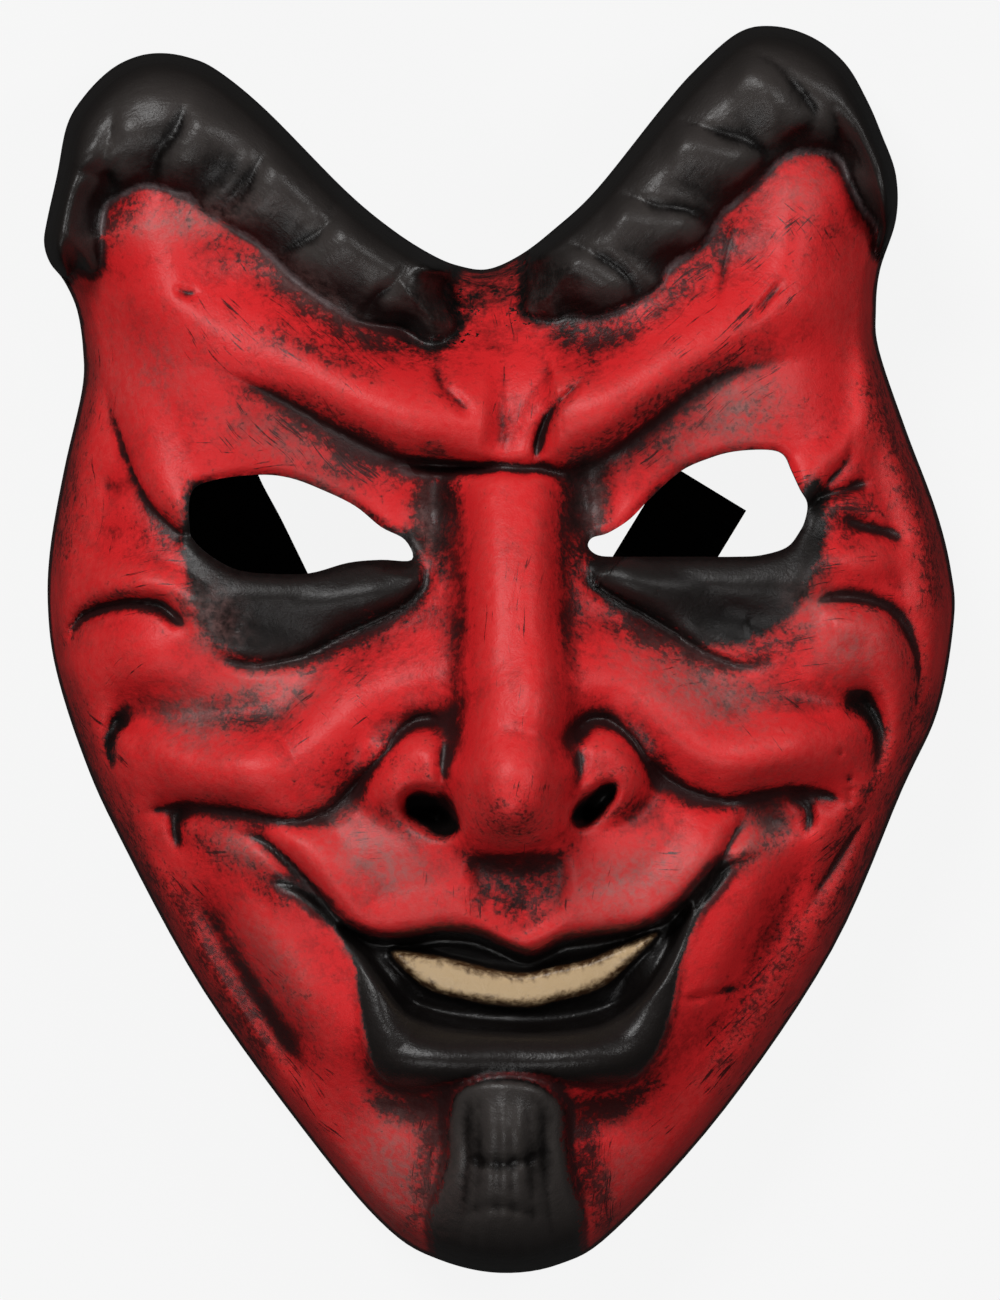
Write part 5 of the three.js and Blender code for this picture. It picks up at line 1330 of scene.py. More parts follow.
    def horn_places(self, points: Array) -> tuple[Array, Array]:
        """Find how far along and across its horn each point lies.

        Args:
            points: Places in the plan.

        Returns:
            The distances along the nearer horn and across it.
        """
        along, across = np.zeros((2, len(points)))
        nearest = np.full(len(points), HORN_REACH)
        for line in (LEFT_HORN_LINE, RIGHT_HORN_LINE):
            stations, length = even_stations(smooth_curve(line, FINE_STEPS), HORN_STATIONS)
            run = directions(stations[:, :2])
            for i, station in enumerate(stations):
                dx, dy = points[:, 0] - station[0], points[:, 1] - station[1]
                away = np.hypot(dx, dy)
                closer = away < nearest
                nearest = np.where(closer, away, nearest)
                forward = run[i, 0] * dx + run[i, 1] * dy
                along = np.where(closer, (i + 0.5) / len(stations) * length + forward, along)
                across = np.where(closer, run[i, 0] * dy - run[i, 1] * dx, across)
        return along, across

    def paint(self, mesh: Mesh) -> None:
        """Lay down the vertex layers that the paint reads: where each colour and each wear goes, and where
        painted shade and painted highlights go.

        Args:
            mesh: The moulding's mesh.
        """
        points = self.plan_of(read(mesh.vertices, "co", float).reshape(-1, 3) / MM)
        for name, plans in (("black", BLACK_PLANS), ("teeth", (TEETH_PLAN,))):
            layer(mesh, name, np.minimum(inside_plans(plans, points, -LAYER_REACH), LAYER_REACH))
        laid = {"soot": SOFT_BLACK_AND_SHADE, "wash": WASH_AND_SHADE, "veil": VEIL_AND_SHEEN, "worn": WORN_AND_LIT_EDGES, "ragged": RAGGED_EDGES}
        for name, forms in (laid | {grain.layer: forms for grain, forms in BRUSHED.items()}).items():
            layer(mesh, name, highest_form(forms, points))
        # The sunk layers and the distance inside the rim tell the paint where to lay painted shade and
        # painted highlights.
        here = self.surface.at(points)
        for name, radius, depth in SUNK_LAYERS:
            sunk = (self.surface.blurred(radius).at(points) - here) / depth
            layer(mesh, name, np.clip(sunk, -MOST_SUNK, MOST_SUNK))
        layer(mesh, "inward", np.clip(signed_distance(self.rim, points), 0.0, INWARD_REACH))
        for name, distances in zip(("horn_along", "horn_across"), self.horn_places(points)):
            layer(mesh, name, distances)


def read(items: bpy.types.bpy_prop_collection, name: str, kind: type) -> Array:
    """Read one property of many items into an array.

    Args:
        items: A mesh's vertices, edges, loops or polygons.
        name: The property.
        kind: The type of its numbers.

    Returns:
        The numbers, one after another.
    """
    width = 3 if name == "co" else 1
    values = np.empty(len(items) * width, np.float32 if kind is float else kind)
    items.foreach_get(name, values)
    return values


def layer(mesh: Mesh, name: str, values: Array) -> None:
    """Store one number for each vertex of a mesh under a name."""
    made = mesh.attributes.new(name, "FLOAT", "POINT")
    made.data.foreach_set("value", values.astype(np.float32))


def signed_area(outline: Array) -> float:
    """Give an outline's area, positive where it runs anticlockwise."""
    after = np.roll(outline, -1, axis=0)
    return float(0.5 * np.sum(outline[:, 0] * after[:, 1] - after[:, 0] * outline[:, 1]))


def new_piece(name: str, corners: Array, faces: Sequence[Sequence[int]], slots: Sequence[Material]) -> Piece:
    """Make an object from corners in millimetres.

    Args:
        name: The piece's name.
        corners: Its corners.
        faces: Its faces, by the numbers of their corners.
        slots: Its materials.

    Returns:
        The object, in the scene.
    """
    mesh = bpy.data.meshes.new(name)
    listed = faces.tolist() if isinstance(faces, Array) else faces
    mesh.from_pydata((corners * MM).tolist(), [], listed)
    for material in slots:
        mesh.materials.append(material)
    piece = bpy.data.objects.new(name, mesh)
    bpy.context.collection.objects.link(piece)
    return piece


@dataclass
class RibbonTie:
    """A woven ribbon glued inside the wall by one end, lying loose under the mask. Millimetres."""

    name: str
    node: str
    path: Rows
    width: float = 18.0
    thickness: float = 0.8
    rest: float = 0.7
    stations: int = 320
    strips: int = 12
    selvedge: float = 0.12
    selvedge_width: float = 1.0
    sharp: float = 40.0
    length: float = field(init=False)

    def cross_section(self) -> Array:
        """Give the ribbon's section, its edges a little thicker.

        Returns:
            Places across it and through it, round the section.
        """
        spread = np.linspace(-0.5, 0.5, self.strips + 1) * self.width
        plain = np.abs(np.abs(spread) - self.width / 2) >= self.selvedge_width
        half = self.thickness / 2 - np.where(plain, self.selvedge, 0.0)
        return np.vstack([np.column_stack([spread, -half]), np.column_stack([spread, half])[::-1]])

    def build(self, shift: Array, finish: Material) -> Piece:
        """Build the ribbon along its path.

        Args:
            shift: What the mask was moved by, to stand over the origin.
            finish: Its material.

        Returns:
            The ribbon.
        """
        tilts = np.radians([degrees for _, _, degrees in self.path])
        half_tall = (self.width * np.abs(np.sin(tilts)) + self.thickness * np.cos(tilts)) / 2
        rows = np.column_stack([np.array(self.path, float)[:, :2], self.rest + half_tall, tilts])
        stations, self.length = even_stations(smooth_curve(rows, PATH_STEPS), self.stations)
        stations[:, :2] -= shift
        run = directions(stations[:, :3])
        level = np.column_stack([-run[:, 1], run[:, 0], np.zeros(len(run))])
        level /= np.linalg.norm(level, axis=1, keepdims=True)
        up = np.cross(run, level)
        tilt = stations[:, 3:4]
        across = level * np.cos(tilt) + up * np.sin(tilt)
        normal = np.cross(run, across)
        section = self.cross_section()
        count = len(section)
        corners = (
            stations[:, None, :3] + across[:, None, :] * section[None, :, :1]
            + normal[:, None, :] * section[None, :, 1:]
        ).reshape(-1, 3)
        faces = []
        for i in range(len(stations) - 1):
            for k in range(count):
                a, b = count * i + k, count * i + (k + 1) % count
                faces.append((a, b, b + count, a + count))
        last = count * (len(stations) - 1)
        faces.append(list(range(count))[::-1])
        faces.append([last + k for k in range(count)])
        piece = new_piece(self.name, corners, faces, (finish,))
        mesh = piece.data
        mesh.polygons.foreach_set("use_smooth", np.ones(len(mesh.polygons), bool))
        mesh.set_sharp_from_angle(angle=math.radians(self.sharp))
        layer(mesh, "along", np.repeat(np.arange(len(stations)) * self.length / len(stations), count))
        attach(piece, "root")
        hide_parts(self.node)
        return piece


LEFT_TIE_PATH = (
    (-83.8, 8, 84), (-82, 24, 84), (-79.2, 36, 84), (-76.2, 50, 84), (-73.6, 61, 80), (-67, 63, 62),
    (-62, 50, 24), (-57.2, 33, 0), (-51.3, 21.2, 0), (-43.5, 5.2, 0), (-35.7, -10.8, 0),
    (-27.9, -26.8, 8), (-20.6, -44, 40), (-16.6, -60, 80), (-17.5, -78, 88), (-24, -90, 88),
    (-34, -84, 88), (-44, -67, 88), (-53, -49, 88), (-61, -32, 88), (-67, -14, 88),
)
RIGHT_TIE_PATH = (
    (70, 60, -84), (71.4, 53, -84), (75, 44, -84), (79.6, 32, -84), (83.2, 16, -84), (83.4, 0, -88),
    (77, -18, -88), (66, -38, -88), (53, -60, -88), (38, -80, -88), (24, -95, -88), (11, -99, -88),
    (2, -91, -88), (0.4, -76, -88), (1.4, -60, -80), (2.2, -44, -46), (5, -27.2, -12),
    (12, -15.7, 0), (21.8, 0.3, 0), (31.8, 16.6, 0), (41.8, 33, 0),
)

# The spread that lets noise run from about -1 to 1, the sizes in millimetres of the paint's
# unevenness, and those of the bends and patches in the dry brush's streaks.
NOISE_SPREAD = 3.4
NOISE_SIZES = (14.0, 4.6, 1.7, 0.8)
BEND_SIZES = (16.0, 16.0, 40.0)
STREAK_PATCHES = (6.0, 6.0, 20.0)
CRUMBS_TO_A_PATCH = 3.4


@dataclass
class Sheet:
    """A node tree with short ways to add nodes and join them."""

    tree: Tree

    def feed(self, socket: Socket, value: Wire) -> None:
        """Join a wire to a socket, or set the socket to a plain value.

        Args:
            socket: The socket.
            value: The wire or the value.
        """
        if isinstance(value, Socket):
            self.tree.links.new(value, socket)
        else:
            socket.default_value = value

    def node(self, kind: str, *wires: Wire, **settings: object) -> Node:
        """Add a node.

        Args:
            kind: The node's type.
            wires: What its first sockets are fed, in their order.
            settings: Its settings.

        Returns:
            The node.
        """
        made = self.tree.nodes.new(kind)
        for name, value in settings.items():
            setattr(made, name, value)
        for socket, wire in zip(made.inputs, wires):
            self.feed(socket, wire)
        return made

    def maths(self, operation: str, first: Wire, second: Wire = 0.0, clamp: bool = False) -> Socket:
        """Work out one number from two."""
        return self.node("ShaderNodeMath", first, second, operation=operation, use_clamp=clamp).outputs[0]

    def times(self, first: Wire, second: Wire, clamp: bool = False) -> Socket:
        """Multiply two numbers."""
        return self.maths("MULTIPLY", first, second, clamp)

    def total(self, start: Wire, *parts: tuple[Wire, Wire]) -> Socket:
        """Add parts to a number, each times its own strength."""
        return reduce(lambda so_far, part: self.maths("ADD", so_far, self.times(*part)), parts, start)

    def highest(self, *numbers: Wire) -> Socket:
        """Give the highest of several numbers."""
        return reduce(lambda top, number: self.maths("MAXIMUM", top, number), numbers)

    def blend(self, share: Wire, first: Wire, second: Wire) -> Socket:
        """Mix two colours.

        Args:
            share: How much of the second, from 0 to 1.
            first: The first colour.
            second: The second colour.

        Returns:
            The mixed colour.
        """
        made = self.node("ShaderNodeMix", share, data_type="RGBA", clamp_factor=True)
        self.feed(made.inputs[6], first)
        self.feed(made.inputs[7], second)
        return made.outputs[2]

    def between(self, value: Wire, low: Wire, high: Wire, start: float = 0.0, end: float = 1.0) -> Socket:
        """Ease from one number to another while a value runs from low to high."""
        wires = (value, low, high, start, end)
        return self.node("ShaderNodeMapRange", *wires, interpolation_type="SMOOTHSTEP").outputs[0]

    def place(self) -> Socket:
        """Give the place on the piece, in millimetres."""
        where = self.node("ShaderNodeTexCoord").outputs["Object"]
        return self.vectors("MULTIPLY", where, (1 / MM, 1 / MM, 1 / MM))

    def vectors(self, operation: str, first: Wire, second: Wire) -> Socket:
        """Work out one vector from two."""
        return self.node("ShaderNodeVectorMath", first, second, operation=operation).outputs[0]

    def combined(self, x: Wire, y: Wire, z: Wire) -> Socket:
        """Make a vector from three numbers."""
        return self.node("ShaderNodeCombineXYZ", x, y, z).outputs[0]

    def noise(self, vector: Wire, detail: float, rough: float, warp: float = 0.0) -> Socket:
        """Give noise of one patch to the unit, spread to run from about -1 to 1.

        Args:
            vector: The place, in patches.
            detail: How many finer layers it has.
            rough: How strong the finer layers are.
            warp: How far it is bent.

        Returns:
            The noise.
        """
        made = self.node("ShaderNodeTexNoise", vector, noise_dimensions="3D")
        for name, value in (("Scale", 1.0), ("Detail", detail), ("Roughness", rough), ("Distortion", warp)):
            self.feed(made.inputs[name], value)
        return self.times(self.maths("SUBTRACT", made.outputs["Fac"], 0.5), NOISE_SPREAD)

    def patches(self, size: Wire, detail: float, rough: float, warp: float = 0.0) -> Socket:
        """Give noise on the piece whose patches are a size in millimetres every way."""
        sizes = self.combined(size, size, size)
        return self.noise(self.vectors("DIVIDE", self.place(), sizes), detail, rough, warp)

    def layer(self, name: str) -> Socket:
        """Read a vertex layer."""
        return self.node("ShaderNodeAttribute", attribute_name=name).outputs["Fac"]

    def group(self, tree: Tree, **values: Wire) -> Node:
        """Place a shared effect.

        Args:
            tree: The effect's group.
            values: What its inputs are fed, by their names with underscores for spaces.

        Returns:
            The group's node.
        """
        made = self.node("ShaderNodeGroup", node_tree=tree)
        for name, value in values.items():
            self.feed(made.inputs[name.replace("_", " ").title()], value)
        return made


@dataclass(frozen=True)
class Effect:
    """A shared shader effect: a node group with named inputs and outputs."""

    name: str
    inputs: tuple[tuple[str, float], ...]
    outputs: tuple[str, ...]

    def open(self) -> tuple[Sheet, dict[str, Socket], Node]:
        """Make the group with its sockets.

        Returns:
            A sheet to work on it, its inputs by name and its output node.
        """
        tree = bpy.data.node_groups.new(self.name, "ShaderNodeTree")
        for name, value in self.inputs:
            socket = tree.interface.new_socket(name, in_out="INPUT", socket_type="NodeSocketFloat")
            socket.default_value = value
        for name in self.outputs:
            tree.interface.new_socket(name, in_out="OUTPUT", socket_type="NodeSocketFloat")
        sheet = Sheet(tree)
        entry = sheet.node("NodeGroupInput")
        leave = sheet.node("NodeGroupOutput")
        return sheet, {name: entry.outputs[name] for name, _ in self.inputs}, leave


def make_dry_brush() -> Tree:
    """Build the fine streaks that a nearly dry brush leaves where a layer asks for them.

    Returns:
        The group.
    """
    inputs = (("Coverage", 0.5), ("Angle", 0.0), ("Length", 9.0), ("Width", 0.55))
    sheet, given, leave = Effect("Dry Brush", inputs, ("Mask",)).open()
    turned = sheet.node("ShaderNodeVectorRotate", sheet.place(), rotation_type="Z_AXIS")
    sheet.feed(turned.inputs["Angle"], sheet.times(given["Angle"], -1.0))
    bent = sheet.noise(sheet.vectors("DIVIDE", sheet.place(), BEND_SIZES), 1.0, 0.5)
    moved = sheet.vectors("ADD", turned.outputs[0], sheet.combined(0.0, sheet.times(bent, 1.8), 0.0))
    sizes = sheet.combined(given["Length"], given["Width"], sheet.times(given["Width"], 60.0))
    streaks = sheet.noise(sheet.vectors("DIVIDE", moved, sizes), 4.0, 0.62, 0.2)
    patches = sheet.noise(sheet.vectors("DIVIDE", sheet.place(), STREAK_PATCHES), 4.0, 0.65)
    laid = sheet.total(given["Coverage"], (patches, 0.55), (streaks, 1.0))
    laid = sheet.times(laid, sheet.between(given["Coverage"], 0.02, 0.3))
    sheet.feed(leave.inputs["Mask"], sheet.between(laid, 0.7, 1.1))
    return sheet.tree


def make_mottle() -> Tree:
    """Build the soft unevenness of hand-laid paint.

    Returns:
        The group.
    """
    sheet, given, leave = Effect("Mottle", (("Size", 8.0),), ("Value",)).open()
    sheet.feed(leave.inputs["Value"], sheet.patches(given["Size"], 3.0, 0.6, 0.4))
    return sheet.tree


def make_hand_surface() -> Tree:
    """Build the small lumps and the fine grain of hand-laid material, as heights in millimetres.

    Returns:
        The group.
    """
    inputs = (("Lump", 0.06), ("Lump Size", 5.0), ("Grain", 0.02), ("Grain Size", 0.5))
    sheet, given, leave = Effect("Hand Surface", inputs, ("Height",)).open()
    lumps = sheet.patches(given["Lump Size"], 2.0, 0.5, 0.4)
    grain = sheet.patches(given["Grain Size"], 3.0, 0.6)
    height = sheet.total(sheet.times(lumps, given["Lump"]), (grain, given["Grain"]))
    sheet.feed(leave.inputs["Height"], height)
    return sheet.tree


def make_paint_edge() -> Tree:
    """Build the hand-cut edge of a painted field from the distance inside its outline.

    Returns:
        The group.
    """
    inputs = (("Distance", 0.0), ("Raggedness", 0.5), ("Size", 3.0), ("Softness", 0.4))
    sheet, given, leave = Effect("Paint Edge", inputs, ("Cover", "Line")).open()
    wander = sheet.patches(given["Size"], 4.0, 0.65)
    crumbs = sheet.patches(sheet.maths("DIVIDE", given["Size"], CRUMBS_TO_A_PATCH), 2.0, 0.6)
    wander = sheet.total(wander, (crumbs, 0.7))
    moved = sheet.total(given["Distance"], (wander, given["Raggedness"]))
    cover = sheet.between(moved, sheet.times(given["Softness"], -1.0), given["Softness"])
    sheet.feed(leave.inputs["Cover"], cover)
    line = sheet.times(sheet.between(moved, -1.3, -0.1), sheet.between(moved, 0.0, 0.9, 1.0, 0.0))
    sheet.feed(leave.inputs["Line"], line)
    return sheet.tree


@dataclass(frozen=True)
class Effects:
    """The shared effects, built once."""

    dry_brush: Tree
    mottle: Tree
    hand_surface: Tree
    paint_edge: Tree

    @classmethod
    def build(cls) -> Effects:
        """Build every effect."""
        return cls(make_dry_brush(), make_mottle(), make_hand_surface(), make_paint_edge())


@dataclass
class PaintSheet(Sheet):
    """The painted face's sheet, with the unevenness of its paint at four sizes, from about -1 to 1."""

    effects: Effects
    broad: Socket = field(init=False)
    cloud: Socket = field(init=False)
    fine: Socket = field(init=False)
    grit: Socket = field(init=False)

    def __post_init__(self) -> None:
        """Place the four, from the broadest to the finest."""
        patches = [self.group(self.effects.mottle, size=size).outputs["Value"] for size in NOISE_SIZES]
        self.broad, self.cloud, self.fine, self.grit = patches


def open_material(name: str) -> tuple[Material, Sheet, Node]:
    """Make a material with nodes.

    Args:
        name: The material's name.

    Returns:
        The material, a sheet to work on it and its shader.
    """
    material = bpy.data.materials.new(name)
    material.use_nodes = True
    return material, Sheet(material.node_tree), material.node_tree.nodes["Principled BSDF"]


def dress(sheet: Sheet, shader: Node, colour: Wire, roughness: Wire, height: Wire) -> None:
    """Feed a shader.

    Args:
        sheet: The sheet that it is on.
        shader: The shader.
        colour: Its colour.
        roughness: Its roughness.
        height: Its relief, as heights in millimetres.
    """
    bump = sheet.node("ShaderNodeBump")
    bump.inputs["Strength"].default_value = 1.0
    bump.inputs["Distance"].default_value = MM
    sheet.feed(bump.inputs["Height"], height)
    sheet.feed(shader.inputs["Base Color"], colour)
    sheet.feed(shader.inputs["Roughness"], roughness)
    sheet.feed(shader.inputs["Normal"], bump.outputs[0])


@dataclass(frozen=True)
class PaintedFace:
    """Red and black paint on papier-mache, cream teeth, dark antiquing with painted shade in the hollows,
    painted highlights on what stands proud, dry-brush wear.
    """

    # The deep red and the dark antiquing colour also serve as painted shade; the paler red, the grey and the
    # paler black as painted highlights and sheen.
    red: Colour = (0.580, 0.0150, 0.0175, 1)
    deep_red: Colour = (0.100, 0.0030, 0.0032, 1)
    rubbed_and_lit_red: Colour = (0.640, 0.050, 0.047, 1)
    veil: Colour = (0.260, 0.130, 0.120, 1)
    wash: Colour = (0.0110, 0.0050, 0.0052, 1)
    black: Colour = (0.0034, 0.0026, 0.0024, 1)
    rubbed_and_lit_black: Colour = (0.034, 0.029, 0.027, 1)
    edge_grey: Colour = (0.105, 0.080, 0.082, 1)
    teeth: Colour = (0.500, 0.355, 0.200, 1)
    teeth_edge_brown: Colour = (0.045, 0.020, 0.008, 1)
    specular: float = 0.24
    red_roughness: float = 0.47
    black_roughness: float = 0.43
    wrinkle_size: Pair = (7.0, 1.6)
    wrinkle_height: float = 0.04

    def red_paint(self, sheet: PaintSheet) -> Socket:
        """Colour the red paint: deeper in the hollows and towards the rim as painted shade, and under the
        dark antiquing; paler on what stands proud, as wear and painted highlight.

        Args:
            sheet: The paint's sheet.

        Returns:
            The colour.
        """
        hollow = sheet.layer("hollow")
        valley = sheet.layer("valley")
        off_horn = sheet.between(sheet.layer("black"), -7.0, -1.5, 0.6, 0.3)
        # Painted shade in valleys and hollows and towards the rim, the dark antiquing layer, and random tone.
        dark = sheet.total(
            sheet.times(sheet.highest(valley, 0.0), off_horn), (sheet.highest(hollow, 0.0), 0.5),
            (sheet.between(sheet.layer("inward"), 0.0, 4.0, 0.5, 0.0), 1.0), (sheet.layer("wash"), 0.7),
            (sheet.broad, 0.34), (sheet.cloud, 0.3), (sheet.fine, 0.3), (sheet.grit, 0.28),
        )
        colour = sheet.blend(sheet.maths("MAXIMUM", dark, 0.0, clamp=True), self.red, self.deep_red)
        # Painted highlight and wear on what stands proud.
        proud = sheet.highest(sheet.times(hollow, -1.0), sheet.times(valley, -1.0), 0.0)
        patchy = sheet.between(sheet.fine, -0.8, 0.8, 0.1, 0.5)
        return sheet.blend(sheet.times(sheet.between(proud, 0.15, 1.2), patchy), colour, self.rubbed_and_lit_red)

    def thin_wash_and_shade(self, sheet: PaintSheet) -> Socket:
        """Break the thin dark antiquing and the painted shade of the valleys into clouds and specks, with
        stray specks everywhere.

        Args:
            sheet: The paint's sheet.

        Returns:
            How strong the antiquing and painted shade are.
        """
        wash = sheet.total(sheet.layer("wash"), (sheet.highest(sheet.layer("valley"), 0.0), 0.5))
        broken = sheet.times(wash, sheet.total(0.95, (sheet.cloud, 0.5)))
        broken = sheet.total(broken, (sheet.fine, 0.55), (sheet.grit, 0.5))
        soft = sheet.times(sheet.between(broken, 0.4, 1.05), 0.85)
        specks = sheet.total(sheet.times(sheet.fine, 0.55), (sheet.grit, 0.6), (wash, 0.35))
        return sheet.highest(soft, sheet.times(sheet.between(specks, 0.6, 0.85), 0.7))

    def creases(self, sheet: PaintSheet) -> Socket:
        """Darken the creases and the foot of the raised black fields: painted shade, partly dark antiquing.

        Args:
            sheet: The paint's sheet.

        Returns:
            How strong the painted shade and antiquing are.
        """
        crease = sheet.total(sheet.layer("hollow"), (sheet.fine, 0.3), (sheet.cloud, 0.2))
        foot = sheet.between(sheet.layer("black"), -3.0, -0.4)
        foot = sheet.times(foot, sheet.between(sheet.layer("worn"), 0.0, 0.5, 1.0, 0.0))
        foot = sheet.total(foot, (sheet.fine, 0.3))
        return sheet.highest(sheet.between(crease, 0.6, 1.3), sheet.between(foot, 0.3, 1.0))

    def streaks(self, sheet: PaintSheet) -> Socket:
        """Lay dry-brushed black along the four ways of the brush.

        Args:
            sheet: The paint's sheet.

        Returns:
            How strong the streaks are.
        """
        masks = []
        for grain in Grain:
            coverage = sheet.layer(grain.layer)
            angle = math.radians(grain.value)
            masks.append(sheet.group(sheet.effects.dry_brush, coverage=coverage, angle=angle).outputs["Mask"])
        return sheet.highest(*masks)

    def black_paint(self, sheet: PaintSheet, soot: Socket) -> Socket:
        """Colour the black paint, greyer as wear and painted highlight on what stands proud, darker as
        painted shade in the hollows, towards the rim and under the soft black.

        Args:
            sheet: The paint's sheet.
            soot: How strong the soft black and its painted shade are.

        Returns:
            The colour.
        """
        # Painted highlight on what stands proud and painted shade in the hollows and near the rim, mixed with
        # wear.
        sunk = sheet.maths("ADD", sheet.layer("hollow"), sheet.layer("valley"))
        rubbed_and_lit = sheet.maths("SUBTRACT", sheet.total(sheet.broad, (sheet.fine, 0.4)), sunk)
        rubbed_and_lit = sheet.between(rubbed_and_lit, -0.6, 1.7)
        rubbed_and_lit = sheet.times(rubbed_and_lit, sheet.between(sheet.layer("inward"), 1.0, 10.0, 0.15, 1.0))
        rubbed_and_lit = sheet.times(rubbed_and_lit, sheet.between(soot, 0.0, 1.0, 1.0, 0.25))
        return sheet.blend(rubbed_and_lit, self.black, self.rubbed_and_lit_black)

    def enamel(self, sheet: PaintSheet) -> Socket:
        """Colour the teeth, darker brown towards their edges.

        Args:
            sheet: The paint's sheet.

        Returns:
            The colour.
        """
        from_edge = sheet.total(sheet.layer("teeth"), (sheet.fine, 1.1), (sheet.cloud, 0.6))
        return sheet.blend(sheet.between(from_edge, 0.0, 2.2, 1.0, 0.05), self.teeth, self.teeth_edge_brown)

    def relief(self, sheet: PaintSheet, covered: Socket) -> Socket:
        """Give the paint's small lumps and grain, and the wrinkles that run along the black horns.

        Args:
            sheet: The paint's sheet.
            covered: How strong the black paint is.

        Returns:
            The heights in millimetres.
        """
        skin = sheet.group(sheet.effects.hand_surface, lump=0.05, lump_size=3.2, grain=0.022, grain_size=0.5)
        long, wide = self.wrinkle_size
        along = sheet.maths("DIVIDE", sheet.layer("horn_along"), long)
        across = sheet.maths("DIVIDE", sheet.layer("horn_across"), wide)
        wrinkles = sheet.noise(sheet.combined(along, across, 0.0), 4.0, 0.6, 0.6)
        return sheet.total(skin.outputs["Height"], (sheet.times(wrinkles, covered), self.wrinkle_height))

    def build(self, effects: Effects) -> Material:
        """Build the painted finish.

        Args:
            effects: The shared effects.

        Returns:
            The material.
        """
        material, plain, shader = open_material("painted papier-mache")
        sheet = PaintSheet(plain.tree, effects)
        # Pinkish-grey paint, partly a painted sheen on the swellings.
        veil = sheet.layer("veil")
        veil_and_sheen_share = sheet.times(veil, sheet.between(sheet.fine, -0.7, 0.9, 0.25, 0.75), clamp=True)
        colour = sheet.blend(veil_and_sheen_share, self.red_paint(sheet), self.veil)
        # Dark antiquing, dry-brush streaks and painted shade in the creases and valleys.
        thin = sheet.highest(self.creases(sheet), self.thin_wash_and_shade(sheet))
        washed_and_shaded = sheet.highest(self.streaks(sheet), thin)
        colour = sheet.blend(sheet.times(washed_and_shaded, 0.9), colour, self.wash)

        black = sheet.layer("black")
        ragged = sheet.total(0.4, (sheet.layer("ragged"), 1.0))
        edge = sheet.group(effects.paint_edge, distance=black, raggedness=ragged, size=2.6, softness=0.3)
        soot = sheet.total(sheet.layer("soot"), (sheet.cloud, 0.3), (sheet.fine, 0.16), (sheet.grit, 0.2))
        soot = sheet.between(soot, 0.3, 1.0)
        cover = edge.outputs["Cover"]
        covered = sheet.highest(cover, soot)
        colour = sheet.blend(covered, colour, self.black_paint(sheet, soot))
        # The pinkish grey laid over the black too: partly painted sheen.
        haze = sheet.times(veil, sheet.between(sheet.fine, -0.7, 0.9, 0.05, 0.4))
        colour = sheet.blend(sheet.maths("MINIMUM", haze, 1.0), colour, self.veil)
        # A light line along the black's edge: partly wear, partly painted highlight on the raised edge.
        line = sheet.times(edge.outputs["Line"], sheet.between(sheet.cloud, -0.6, 0.8, 0.1, 0.9))
        colour = sheet.blend(sheet.times(line, sheet.layer("worn")), colour, self.edge_grey)

        teeth = sheet.layer("teeth")
        tooth = sheet.group(effects.paint_edge, distance=teeth, raggedness=0.2, size=1.6, softness=0.25)
        colour = sheet.blend(tooth.outputs["Cover"], colour, self.enamel(sheet))
        gloss = sheet.between(cover, 0.0, 1.0, self.red_roughness, self.black_roughness)
        soot_gloss = sheet.between(soot, 0.0, 1.0, 0.0, self.black_roughness - self.red_roughness)
        gloss = sheet.total(gloss, (soot_gloss, 1.0), (sheet.fine, 0.05), (washed_and_shaded, -0.05))
        shader.inputs["Specular IOR Level"].default_value = self.specular
        dress(sheet, shader, colour, gloss, self.relief(sheet, covered))
        return material


@dataclass(frozen=True)
class BarePaper:
    """The unpainted inside: layers of torn paper, grey-white with glue."""

    paper: Colour = (0.62, 0.56, 0.47, 1)
    glue: Colour = (0.42, 0.35, 0.26, 1)
    roughness: float = 0.85

    def build(self, effects: Effects) -> Material:
        """Build the bare finish.

        Args:
            effects: The shared effects.

        Returns:
            The material.
        """
        material, sheet, shader = open_material("bare papier-mache")
        patches = sheet.group(effects.mottle, size=11.0).outputs["Value"]
        colour = sheet.blend(sheet.between(patches, -0.8, 0.8), self.paper, self.glue)
        surface = sheet.group(effects.hand_surface, lump=0.25, lump_size=8.0, grain=0.04, grain_size=0.7)
        dress(sheet, shader, colour, self.roughness, surface.outputs["Height"])
        return material


@dataclass(frozen=True)
class CutEdge:
    """The cut edge of an eye opening, painted black, with bare paper showing in streaks."""

    black: Colour = (0.007, 0.006, 0.007, 1)
    paper: Colour = (0.075, 0.055, 0.045, 1)
    roughness: float = 0.5

    def build(self, effects: Effects) -> Material:
        """Build the finish of the cut edges.

        Args:
            effects: The shared effects.

        Returns:
            The material.
        """
        material, sheet, shader = open_material("cut edge")
        streaks = sheet.group(effects.dry_brush, coverage=0.35, angle=0.0, length=5.0, width=0.5)
        colour = sheet.blend(streaks.outputs["Mask"], self.black, self.paper)
        surface = sheet.group(effects.hand_surface, lump=0.08, lump_size=2.0, grain=0.03, grain_size=0.4)
        dress(sheet, shader, colour, self.roughness, surface.outputs["Height"])
        return material


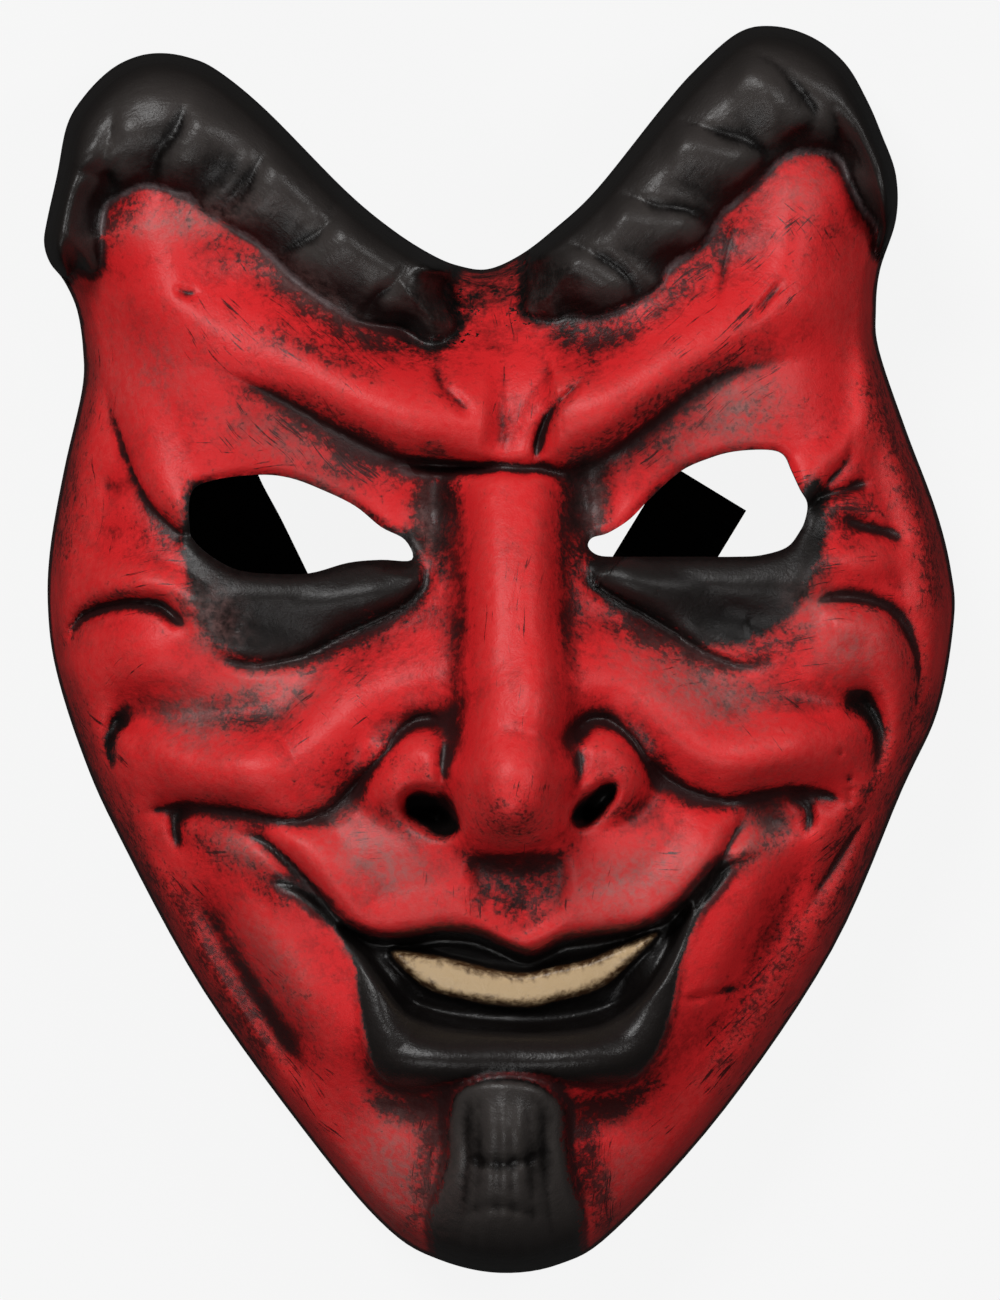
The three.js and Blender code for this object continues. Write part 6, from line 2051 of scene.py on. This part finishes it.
@dataclass(frozen=True)
class RibbedRibbon:
    """Black ribbon with fine ribs woven across it, painted lighter on the rib crests as a sheen."""

    dark: Colour = (0.0030, 0.0034, 0.0050, 1)
    light: Colour = (0.0120, 0.0135, 0.0180, 1)
    specular: float = 0.3
    roughness: float = 0.55
    rib: float = 0.9
    rib_height: float = 0.12

    def build(self, effects: Effects) -> Material:
        """Build the ribbon's finish.

        Args:
            effects: The shared effects.

        Returns:
            The material.
        """
        material, sheet, shader = open_material("black ribbon")
        wave = sheet.maths("SINE", sheet.times(sheet.layer("along"), 2 * math.pi / self.rib))
        worn = sheet.group(effects.mottle, size=5.0).outputs["Value"]
        # Painted sheen: lighter where the ribs stand high, stronger in random patches.
        tone = sheet.times(sheet.between(wave, -1.0, 1.0), sheet.between(worn, -1.0, 1.0, 0.2, 0.9))
        thread = sheet.group(effects.hand_surface, lump=0.02, lump_size=2.0, grain=0.02, grain_size=0.3)
        height = sheet.total(thread.outputs["Height"], (wave, self.rib_height / 2))
        shader.inputs["Specular IOR Level"].default_value = self.specular
        dress(sheet, shader, sheet.blend(tone, self.dark, self.light), self.roughness, height)
        return material


@dataclass(frozen=True)
class Lamp:
    """A square lamp that faces the mask. Its power is in watts, its place and width in metres."""

    name: str
    place: Triple
    power: float
    width: float

    def build(self) -> None:
        """Hang the lamp."""
        data = bpy.data.lights.new(self.name, "AREA")
        data.energy = self.power
        data.size = self.width
        lamp = bpy.data.objects.new(self.name, data)
        lamp.location = self.place
        lamp.rotation_euler = (-Vector(self.place)).to_track_quat("-Z", "Y").to_euler()
        bpy.context.collection.objects.link(lamp)


@dataclass(frozen=True)
class Studio:
    """The pale floor, the soft lights and the camera. Metres."""

    floor_size: float = 8.0
    floor_colour: Colour = (0.03, 0.03, 0.03, 1)
    floor_glow: float = 0.89
    camera_height: float = 1.8
    sensor: float = 36.0
    lamps: tuple[Lamp, ...] = (
        Lamp("key lamp", (-0.6, 0.9, 1.45), 26.0, 0.5),
        Lamp("fill lamp", (1.1, 0.45, 1.2), 9.0, 0.45),
        Lamp("front lamp", (-0.35, -1.1, 1.45), 8.0, 0.6),
    )
    white: Colour = (1, 1, 1, 1)
    ambient: float = 0.03

    def build_floor(self) -> None:
        """Lay the floor: pale, and lit from below so that it stays pale inside the eye openings."""
        half = self.floor_size / 2 / MM
        corners = np.array([(-half, -half, 0), (half, -half, 0), (half, half, 0), (-half, half, 0)])
        material, _, shader = open_material("pale floor")
        shader.inputs["Base Color"].default_value = self.floor_colour
        shader.inputs["Roughness"].default_value = 1.0
        shader.inputs["Specular IOR Level"].default_value = 0.0
        shader.inputs["Emission Color"].default_value = self.white
        shader.inputs["Emission Strength"].default_value = self.floor_glow
        floor = new_piece("floor", corners, [(0, 1, 2, 3)], (material,))
        floor.visible_diffuse = False
        floor.visible_glossy = False

    def build_camera(self, shift: Array) -> None:
        """Set the camera straight above the picture's middle, framing it as the photograph does.

        Args:
            shift: What the mask was moved by, to stand over the origin, in millimetres.
        """
        data = bpy.data.cameras.new("camera")
        framed = PHOTO_PIXELS_TALL * PHOTO_MM_PER_PIXEL * MM
        data.sensor_width = self.sensor
        data.sensor_height = self.sensor
        data.sensor_fit = "AUTO"
        data.lens = self.sensor * self.camera_height / framed
        camera = bpy.data.objects.new("camera", data)
        camera.location = (-shift[0] * MM, -shift[1] * MM, self.camera_height)
        bpy.context.collection.objects.link(camera)
        bpy.context.scene.camera = camera

    def build(self, shift: Array) -> None:
        """Build the whole studio.

        Args:
            shift: What the mask was moved by, to stand over the origin, in millimetres.
        """
        self.build_floor()
        for lamp in self.lamps:
            lamp.build()
        world = bpy.data.worlds.new("studio")
        world.use_nodes = True
        sky = world.node_tree.nodes["Background"]
        sky.inputs["Color"].default_value = self.white
        sky.inputs["Strength"].default_value = self.ambient
        bpy.context.scene.world = world
        bpy.context.scene.view_settings.view_transform = "Standard"
        self.build_camera(shift)


def main() -> None:
    """Load the frame and build the mask, its ribbons and the studio, in order."""
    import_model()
    effects = Effects.build()
    finishes = (PaintedFace().build(effects), BarePaper().build(effects), CutEdge().build(effects))
    shell = MaskShell()
    moulding = shell.build(finishes)
    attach(moulding, "root")
    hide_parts("mask_shell")
    log.info("%s: %d faces", moulding.name, len(moulding.data.polygons))
    ribbon = RibbedRibbon().build(effects)
    for tie in (
        RibbonTie("left_ribbon", "left_ribbon_tie", LEFT_TIE_PATH),
        RibbonTie("right_ribbon", "right_ribbon_tie", RIGHT_TIE_PATH),
    ):
        piece = tie.build(shell.shift, ribbon)
        log.info("%s: %d faces, %.0f mm long", piece.name, len(piece.data.polygons), tie.length)
    Studio().build(shell.shift)


if __name__ == "__main__":
    logging.basicConfig(level=logging.INFO, format="%(message)s")
    main()
